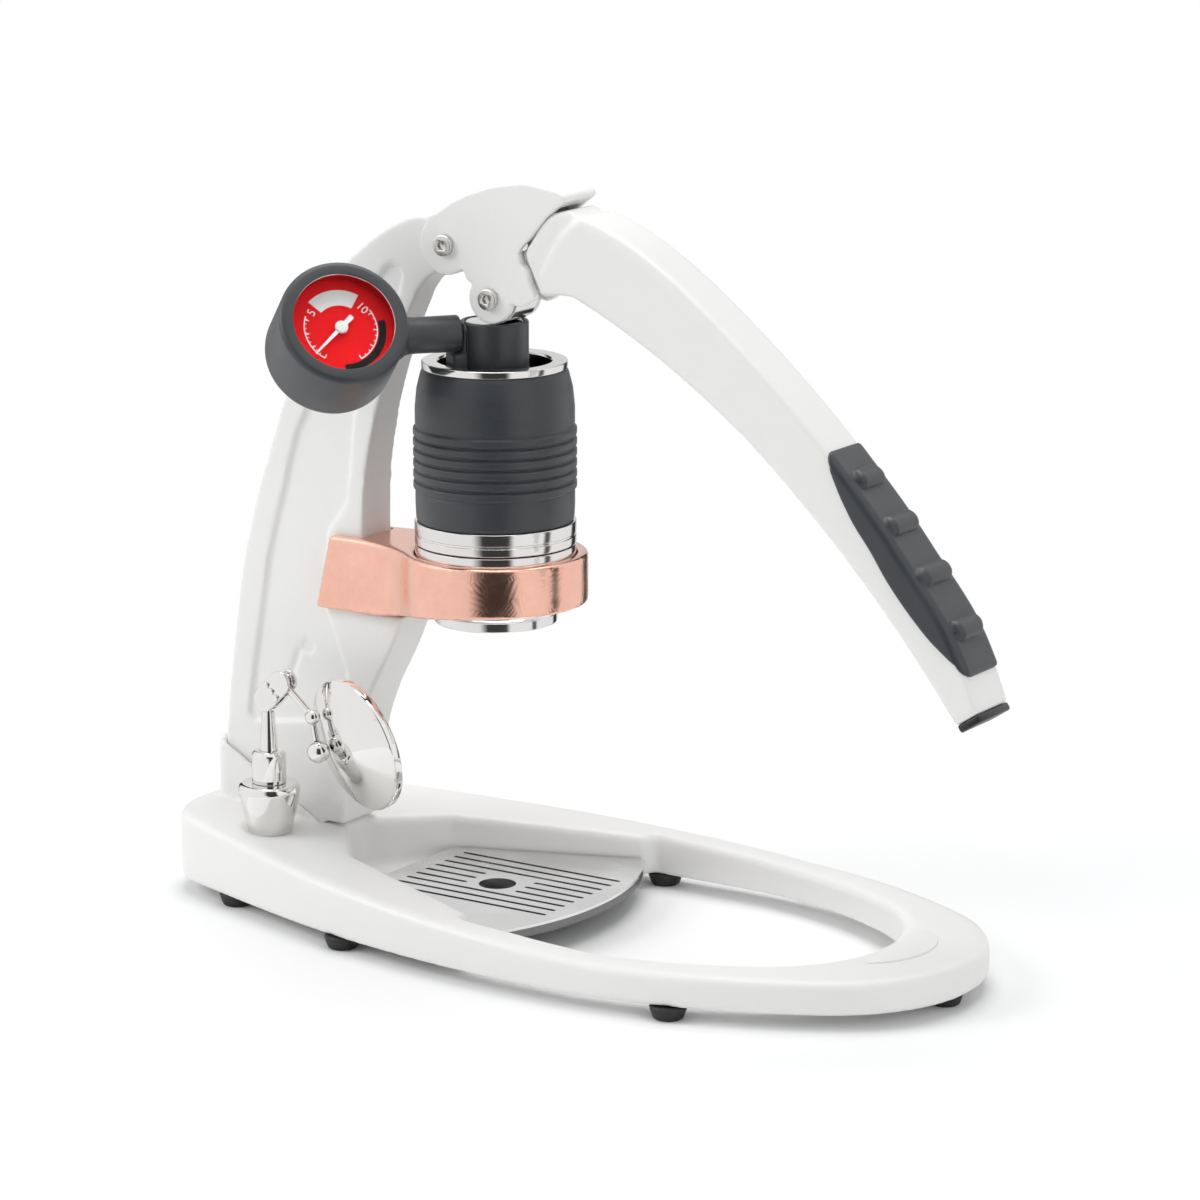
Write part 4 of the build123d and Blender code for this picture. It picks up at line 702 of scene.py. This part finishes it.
# Needle: a thin white pointer with a round hub on the spindle of the movement.
# It rests at the low end of the scale and turns back by its hairspring.
needle_aim = radians(222.0)
needle_height = -5.9
needle_thickness = 0.4 * mm
needle_line = (
    (-5.9, -0.95), (-6.0, 0.0), (-5.9, 0.95), (-2.0, 0.9), (0.0, 0.8),
    (14.2, 0.3), (14.6, 0.0), (14.2, -0.3), (0.0, -0.8), (-2.0, -0.9),
)
needle_work = bmesh.new()
for x, y in needle_line:
    along = x * cos(needle_aim) - y * sin(needle_aim)
    aside = x * sin(needle_aim) + y * cos(needle_aim)
    needle_work.verts.new((along * mm, aside * mm, needle_height * mm))
blade = needle_work.faces.new(list(needle_work.verts))
if blade.normal.z > 0:
    blade.normal_flip()
raised = bmesh.ops.extrude_face_region(needle_work, geom=[blade])
lifted = [part for part in raised["geom"] if isinstance(part, bmesh.types.BMVert)]
bmesh.ops.translate(needle_work, verts=lifted, vec=(0, 0, needle_thickness))
bmesh.ops.recalc_face_normals(needle_work, faces=needle_work.faces)
hub = turned(
    [(0, -15.0, 0), (0.8, -15.0, 0.1), (0.8, -6.1, 0), (2.4, -6.1, 0.2), (2.4, -5.0, 0.6), (0, -4.7, 0)], 64,
)
needle = joined("needle", (mesh_of(needle_work, "blade"), hub), gauge_place)
stand_for(needle, "gauge_needle_shaped", ("gauge_needle",), "needle", print_white)

# Lever: a cast head of two cheeks and a cover, and a cast arm held in it by two dowels, both coated.
# The head swings on a steel pin in the post's bush. A roller on the lower pin pushes the plunger down.
softened("lever_head", "lever", powder_coat, grid=0.4, passes=14)
softened("lever_arm", "lever", powder_coat, grid=0.75, passes=18)
satin_steel = finish(
    "Satin Steel", moulded, {"Grain": 1600.0, "Patches": 150.0},
    light=(0.74, 0.73, 0.71), dark=(0.6, 0.59, 0.57),
    metallic=1.0, roughness=0.27, spread=0.06, bump=0.1, depth=0.00005,
)
eased("pivot_pin", "lever", satin_steel, width=0.25)
eased("press_pin", "lever", satin_steel, width=0.25)
dress("lever_dowels", turned_steel)
dress("pivot_bush", bronze)
dress("press_roller", turned_steel)

# End cap: a black plastic plug over the cut end of the arm.
# It stands a little inside the arm's edges.
black_plastic = finish(
    "Black Plastic", moulded, {"Grain": 1400.0, "Patches": 50.0},
    light=(0.02, 0.02, 0.021), dark=(0.013, 0.013, 0.014),
    metallic=0.0, roughness=0.35, spread=0.05, bump=0.25, depth=0.0001,
)
eased("lever_end_cap", "lever", black_plastic, width=0.9)

# Grip: a slate silicone pad let over the outer face of the arm and part of its sides.
# Four rounded finger ridges run across it, and its rim is bevelled all round.
# Lengths are in millimetres. Rows run down the pad, and across goes from -1 on one side to 1 on the other.
arm_top = (
    (44.4, 268.05), (64.0, 260.1), (97.0, 238.0), (130.0, 210.0), (160.6, 178.6), (177.5, 158.6),
    (193.2, 138.8), (202.6, 121.0), (207.0, 110.0),
)
pad_edge = (
    (148.0, 197.2), (146.1, 193.6), (150.1, 182.8), (156.6, 171.2), (163.7, 161.9), (170.9, 151.5),
    (178.6, 142.3), (187.5, 133.3), (196.4, 126.6), (201.4, 123.9),
)
ridge_places = ((156.8, 185.6), (168.5, 169.6), (181.4, 153.3), (195.2, 136.0))
grip_from = 0.547
grip_to = 0.946
arm_half = 11.6
arm_edge = 2.4
pad_rise = 1.0
pad_inset = 0.5
rim_width = 1.7
rim_row = 0.55
pad_half = 22.0
end_rows = 12
end_narrowing = 0.38
ridge_rise = 2.8
ridge_half = 4.1
ridge_row = 0.6
ridge_flat = 7.2
ridge_end = 3.8
top_steps = 1000
row_count = 160
across_count = 90


def smooth_line(points, count):
    # Evenly spaced points on a smooth line through the given ones
    dense = []
    last = len(points) - 1
    for number in range(last):
        ends = [Vector(points[max(0, min(last, number + step))]) for step in (-1, 0, 1, 2)]
        for step in range(24):
            t = step / 24
            linear = (ends[2] - ends[0]) * t
            square = (2 * ends[0] - 5 * ends[1] + 4 * ends[2] - ends[3]) * t * t
            cubic = (3 * ends[1] - ends[0] - 3 * ends[2] + ends[3]) * t ** 3
            dense.append(0.5 * (2 * ends[1] + linear + square + cubic))
    dense.append(Vector(points[-1]))
    lengths = [0.0]
    for first, second in zip(dense, dense[1:]):
        lengths.append(lengths[-1] + (second - first).length)
    out = []
    spot = 0
    for step in range(count):
        want = lengths[-1] * step / (count - 1)
        while spot < len(lengths) - 2 and lengths[spot + 1] < want:
            spot += 1
        part = (want - lengths[spot]) / max(lengths[spot + 1] - lengths[spot], 1e-9)
        out.append(dense[spot].lerp(dense[spot + 1], part))
    return out


top_line = smooth_line(arm_top, top_steps + 1)
edge_line = smooth_line(pad_edge, 400)


def grip_row(row):
    # A place on the arm's outer line, the way out of it, and how far the pad reaches down the side there
    place = grip_from + (grip_to - grip_from) * (row / row_count)
    number = round(place * top_steps)
    heading = (top_line[min(top_steps, number + 6)] - top_line[max(0, number - 6)]).normalized()
    here = top_line[number]
    outward = Vector((-heading.y, heading.x))
    along = Vector((outward.y, -outward.x))
    near = min([point - here for point in edge_line], key=lambda away: abs(away.dot(along)))
    return here, outward, max(-near.dot(outward), 0.6)


grip_rows = [grip_row(row) for row in range(row_count + 1)]
ridge_rows = []
for place in ridge_places:
    spot = Vector(place)
    ridge_rows.append(min(range(row_count + 1), key=lambda row: (grip_rows[row][0] - spot).length))


def grip_point(row, across, lift):
    # Point over the arm: flat on top, round the edge and down the side
    here, outward, depth = grip_rows[row]
    corner = arm_edge * pi / 2
    flat = arm_half - arm_edge
    wall = max(depth - arm_edge, 0.0)
    from_end = min(row, row_count - row, end_rows) / end_rows
    narrow = 1 - end_narrowing * (1 - sqrt(1 - (1 - from_end) ** 2))
    reach = across * (flat + corner + wall) * narrow
    side = 1 if reach >= 0 else -1
    reach = abs(reach)
    if reach <= flat:
        y, drop, sideways, upwards = reach, 0.0, 0.0, 1.0
    elif reach <= flat + corner:
        turn = (reach - flat) / arm_edge
        sideways, upwards = sin(turn), cos(turn)
        y, drop = flat + arm_edge * sideways, arm_edge * (1 - upwards)
    else:
        y, drop, sideways, upwards = arm_half, arm_edge + reach - flat - corner, 1.0, 0.0
    spot = here + outward * (upwards * lift - drop)
    return Vector((brew_x + spot.x * mm, side * (y + sideways * lift) * mm, spot.y * mm))


def grip_lift(row, across):
    # Height of the pad over the arm, with its rounded rim and its ridges
    to_end = min(row, row_count - row) * rim_row
    to_side = (1 - abs(across)) * pad_half
    edge = min(to_end / rim_width, to_side / rim_width, 1.0)
    lift = pad_rise * sqrt(max(0.0, 1 - (1 - edge) ** 2))
    for ridge in ridge_rows:
        away = (row - ridge) * ridge_row / ridge_half
        past = max(0.0, abs(across) * pad_half - ridge_flat) / ridge_end
        fall = away ** 2 + past ** 2
        if fall < 1:
            lift += ridge_rise * sqrt(1 - fall)
    return lift


grip_work = bmesh.new()
outer = []
inner = []
for row in range(row_count + 1):
    places = [-1 + 2 * column / across_count for column in range(across_count + 1)]
    outer.append([grip_work.verts.new(grip_point(row, across, grip_lift(row, across))) for across in places])
    inner.append([grip_work.verts.new(grip_point(row, across, -pad_inset)) for across in places])
for row in range(row_count):
    for column in range(across_count):
        for sheet in (outer, inner):
            near, far = sheet[row], sheet[row + 1]
            grip_work.faces.new([near[column], far[column], far[column + 1], near[column + 1]])
    for column in (0, across_count):
        below, above = inner[row + 1][column], outer[row + 1][column]
        grip_work.faces.new([outer[row][column], above, below, inner[row][column]])
for column in range(across_count):
    for row in (0, row_count):
        below, above = inner[row][column + 1], outer[row][column + 1]
        grip_work.faces.new([outer[row][column], above, below, inner[row][column]])
bmesh.ops.recalc_face_normals(grip_work, faces=grip_work.faces)
stand_for(
    mesh_of(grip_work, "grip"),
    "grip_pad_moulded", ("grip_pad",), "lever", slate_silicone, crease=60.0,
)

# Drip tray and grate: thin sheet steel, brushed lengthways; the tray's steel is painted dark grey as painted
# shade, for the shadow it lies in under the grate.
# The grate has punched slots and a round hole for the finger that lifts it.
brushed_sheet = finish(
    "Brushed Sheet", brushed, {"Stretch": (60.0, 4200.0, 60.0)},
    light=(0.96, 0.96, 0.95), dark=(0.62, 0.62, 0.62),
    metallic=1.0, roughness=0.22, spread=0.07, bump=0.16, depth=0.0001,
)
# Painted shade: the tray's dark grey colour stands for the shadow under the grate, not for the steel's own
# colour.
shade_darkened_tray = finish(
    "Tray Sheet Painted Shade", brushed, {"Stretch": (60.0, 3000.0, 60.0)},
    light=(0.24, 0.24, 0.24), dark=(0.17, 0.17, 0.17),
    metallic=1.0, roughness=0.4, spread=0.06, bump=0.18, depth=0.0001,
)
dress("drip_grate", brushed_sheet)
eased("drip_tray", "tray", shade_darkened_tray, width=0.2, segments=2)

# Mirror stand: a chromed weight stands on the ring and holds a jointed arm for the shot mirror.
# The two balls of the arm are pinched between two plates by three small screws.
chrome = finish(
    "Bright Chrome", moulded, {"Grain": 60.0, "Patches": 35.0},
    light=(0.84, 0.83, 0.82), dark=(0.76, 0.75, 0.74),
    metallic=1.0, roughness=0.04, spread=0.015, bump=0.02, depth=0.00005,
)
stand_place = Matrix.Translation((-122.7 * mm, -30.5 * mm, 0))
weight_profile = [
    (0, 27.56, 0), (8.3, 27.56, 0.4), (11.6, 43.4, 3.0), (11.4, 46.56, 1.8), (3.05, 46.56, 0),
    (3.05, 38.56, 0), (0, 38.56, 0),
]
mast_collar_profile = [
    (3.05, 46.61, 0), (6.5, 46.61, 0.5), (6.5, 57.6, 1.2), (5.4, 59.1, 0.8), (3.05, 59.1, 0.2),
]
stand_for(
    turned(weight_profile, place=stand_place),
    "mirror_weight_turned", ("mirror_weight",), "mirror_foot", chrome,
)
stand_for(
    turned(mast_collar_profile, 96, stand_place),
    "mirror_collar_turned", ("mirror_collar",), "mirror_foot", chrome,
)
for node in ("mirror_stem", "mirror_arm", "mirror_link", "mirror_knob"):
    dress(node, chrome)
eased("mirror_cup", "mirror_head", chrome, width=0.45)
eased("clamp_plates", "mirror_elbow", chrome, width=0.35)
eased("clamp_screws", "mirror_elbow", chrome, width=0.2)

# Shot mirror: a round silvered glass held in the chromed cup.
# It shows the underside of the portafilter to whoever pulls the lever.
mirror_silver = finish(
    "Mirror Silver", moulded, {"Grain": 20.0, "Patches": 12.0},
    light=(0.96, 0.96, 0.96), dark=(0.94, 0.94, 0.94),
    metallic=1.0, roughness=0.02, spread=0.004, bump=0.0, depth=0.00001,
)
dress("mirror_glass", mirror_silver)

# Floor: a plain pale sheet that goes over to white away from the press.
# It keeps the press's shadow, and metal and glass mirror the same white.


def direct_look(tree):
    # One for rays from the camera, from a mirror or through glass, and none for the light on the press
    rays = tree.nodes.new("ShaderNodeLightPath").outputs
    total = rays["Is Camera Ray"]
    for label in ("Is Glossy Ray", "Is Transmission Ray"):
        seen = tree.nodes.new("ShaderNodeMath")
        seen.operation = "ADD"
        seen.use_clamp = True
        wire(tree, (total, seen.inputs[0]), (rays[label], seen.inputs[1]))
        total = seen.outputs[0]
    return total


floor_half = 6.0
white_from = 0.26
white_at = 0.62
floor_mesh = bpy.data.meshes.new("floor")
floor_corners = [(x * floor_half, y * floor_half, 0) for x, y in ((-1, -1), (1, -1), (1, 1), (-1, 1))]
floor_mesh.from_pydata(floor_corners, [], [(0, 1, 2, 3)])
floor = put("floor", floor_mesh)
floor_paint = bpy.data.materials.new("Pale Floor")
floor_paint.use_nodes = True
tree = floor_paint.node_tree
shader = tree.nodes["Principled BSDF"]
shader.inputs["Base Color"].default_value = (0.93, 0.93, 0.93, 1.0)
shader.inputs["Roughness"].default_value = 0.8
glow = tree.nodes.new("ShaderNodeEmission")
glow.inputs["Color"].default_value = (1, 1, 1, 1)
far = tree.nodes.new("ShaderNodeVectorMath")
far.operation = "LENGTH"
fade = tree.nodes.new("ShaderNodeMapRange")
fade.interpolation_type = "SMOOTHSTEP"
fade.inputs["From Min"].default_value = white_from
fade.inputs["From Max"].default_value = white_at
share = tree.nodes.new("ShaderNodeMath")
share.operation = "MULTIPLY"
wire(
    tree,
    (tree.nodes.new("ShaderNodeTexCoord").outputs["Object"], far.inputs[0]),
    (far.outputs["Value"], fade.inputs["Value"]),
    (fade.outputs["Result"], share.inputs[0]),
    (direct_look(tree), share.inputs[1]),
)
surface = mixed(tree, share.outputs[0], shader.outputs[0], glow.outputs[0])
wire(tree, (surface, tree.nodes["Material Output"].inputs["Surface"]))
floor_mesh.materials.append(floor_paint)

# Backdrop: white behind the press, and a soft even light all round it.
# The two are kept apart, so that the white behind it throws no light on the press.
world = bpy.data.worlds.new("Studio")
bpy.context.scene.world = world
world.use_nodes = True
tree = world.node_tree
soft = tree.nodes["Background"]
soft.inputs["Color"].default_value = (0.97, 0.985, 1.0, 1.0)
soft.inputs["Strength"].default_value = 0.49
white = tree.nodes.new("ShaderNodeBackground")
white.inputs["Color"].default_value = (1, 1, 1, 1)
white.inputs["Strength"].default_value = 1.0
surround = mixed(tree, direct_look(tree), soft.outputs[0], white.outputs[0])
wire(tree, (surround, tree.nodes["World Output"].inputs["Surface"]))

# Lamps: three square soft boxes, from the left front, the right and above.
# Each is aimed at the press, with its place and size in metres and its power in watts.
for name, place, aim_height, size, power in (
    ("key_lamp", (-1.2, -0.95, 1.05), 0.12, 0.9, 12.0),
    ("side_lamp", (1.35, -0.35, 0.75), 0.12, 0.8, 3.5),
    ("top_lamp", (-0.1, 0.3, 1.6), 0.1, 1.1, 13.5),
):
    lamp = bpy.data.lights.new(name, "AREA")
    lamp.shape = "SQUARE"
    lamp.size = size
    lamp.energy = power
    holder = put(name, lamp)
    holder.location = place
    holder.rotation_euler = (Vector((0, 0, aim_height)) - Vector(place)).to_track_quat("-Z", "Y").to_euler()

# Reflection tent: a round screen whose grey bands show only in bright metal, never to the camera.
# The bands are given by their angle from the camera's side and their brightness.
tent_sides = 96
tent_rings = ((0.2, 0.002), (0.4, 0.012), (0.43, 0.05), (0.43, 0.75))
camera_side = radians(57.0)
open_from = 0.4
open_at = 0.7
band_stops = (
    (-180, 0.75), (-160, 0.85), (-154, 0.04), (-138, 0.04), (-130, 0.9), (-106, 1.0), (-36, 0.95),
    (-22, 0.05), (16, 0.05), (24, 1.0), (72, 1.0), (76, 0.1), (83, 0.1), (87, 1.0), (138, 0.95),
    (144, 0.04), (158, 0.04), (164, 0.7), (180, 0.75),
)
tent_work = bmesh.new()
rings = []
for radius, height in tent_rings:
    angles = [2 * pi * side / tent_sides for side in range(tent_sides)]
    spots = [(radius * cos(angle), radius * sin(angle), height) for angle in angles]
    rings.append([tent_work.verts.new(spot) for spot in spots])
for lower, upper in zip(rings, rings[1:]):
    for side in range(tent_sides):
        other = (side + 1) % tent_sides
        tent_work.faces.new([lower[side], upper[side], upper[other], lower[other]])
tent_mesh = mesh_of(tent_work, "tent")
tent = put("reflection_tent", tent_mesh)
tent_paint = bpy.data.materials.new("Reflection Tent")
tent_paint.use_nodes = True
tree = tent_paint.node_tree


def sum_node(operation, first, second):
    # One step of arithmetic in the tent's paint; each side is a number or a node's output
    step = tree.nodes.new("ShaderNodeMath")
    step.operation = operation
    for socket, value in ((step.inputs[0], first), (step.inputs[1], second)):
        if isinstance(value, float):
            socket.default_value = value
        else:
            wire(tree, (value, socket))
    return step.outputs[0]


apart = tree.nodes.new("ShaderNodeSeparateXYZ")
wire(tree, (tree.nodes.new("ShaderNodeTexCoord").outputs["Object"], apart.inputs[0]))
angle = sum_node("ADD", sum_node("ARCTAN2", apart.outputs["Y"], apart.outputs["X"]), camera_side + pi)
part = sum_node("DIVIDE", sum_node("FLOORED_MODULO", angle, 2 * pi), 2 * pi)
bands = tree.nodes.new("ShaderNodeValToRGB")
for element, (angle, level) in zip(bands.color_ramp.elements, (band_stops[0], band_stops[-1])):
    element.color = (level, level, level, 1.0)
for angle, level in band_stops[1:-1]:
    bands.color_ramp.elements.new((angle + 180) / 360).color = (level, level, level, 1.0)
top_fade = tree.nodes.new("ShaderNodeMapRange")
top_fade.interpolation_type = "SMOOTHSTEP"
top_fade.inputs["From Min"].default_value = open_from
top_fade.inputs["From Max"].default_value = open_at
glow = tree.nodes.new("ShaderNodeEmission")
wire(
    tree,
    (part, bands.inputs[0]),
    (bands.outputs["Color"], glow.inputs["Color"]),
    (apart.outputs["Z"], top_fade.inputs["Value"]),
)
mirrored = tree.nodes.new("ShaderNodeLightPath").outputs["Is Glossy Ray"]
seen = sum_node("MULTIPLY", mirrored, sum_node("SUBTRACT", 1.0, top_fade.outputs["Result"]))
clear = tree.nodes.new("ShaderNodeBsdfTransparent")
screen = mixed(tree, seen, clear.outputs[0], glow.outputs[0])
wire(tree, (screen, tree.nodes["Material Output"].inputs["Surface"]))
tent_mesh.materials.append(tent_paint)

# Camera: a long lens at the photograph's place, a little above the press.
# It looks along its own axes, worked out from the angle round the press and the height.
azimuth = radians(33.0)
elevation = radians(13.2)
viewpoint = (0.8691, -1.3298, 0.499)
back = Vector((sin(azimuth) * cos(elevation), -cos(azimuth) * cos(elevation), sin(elevation)))
right = Vector((cos(azimuth), sin(azimuth), 0))
lens = bpy.data.cameras.new("photo_lens")
lens.lens = 135.0
lens.sensor_width = 36.0
lens.clip_end = 30.0
viewer = put("photo_camera", lens)
camera_axes = Matrix((right, back.cross(right), back)).transposed().to_4x4()
viewer.matrix_world = Matrix.Translation(viewpoint) @ camera_axes
bpy.context.scene.camera = viewer
bpy.context.scene.view_settings.view_transform = "Standard"
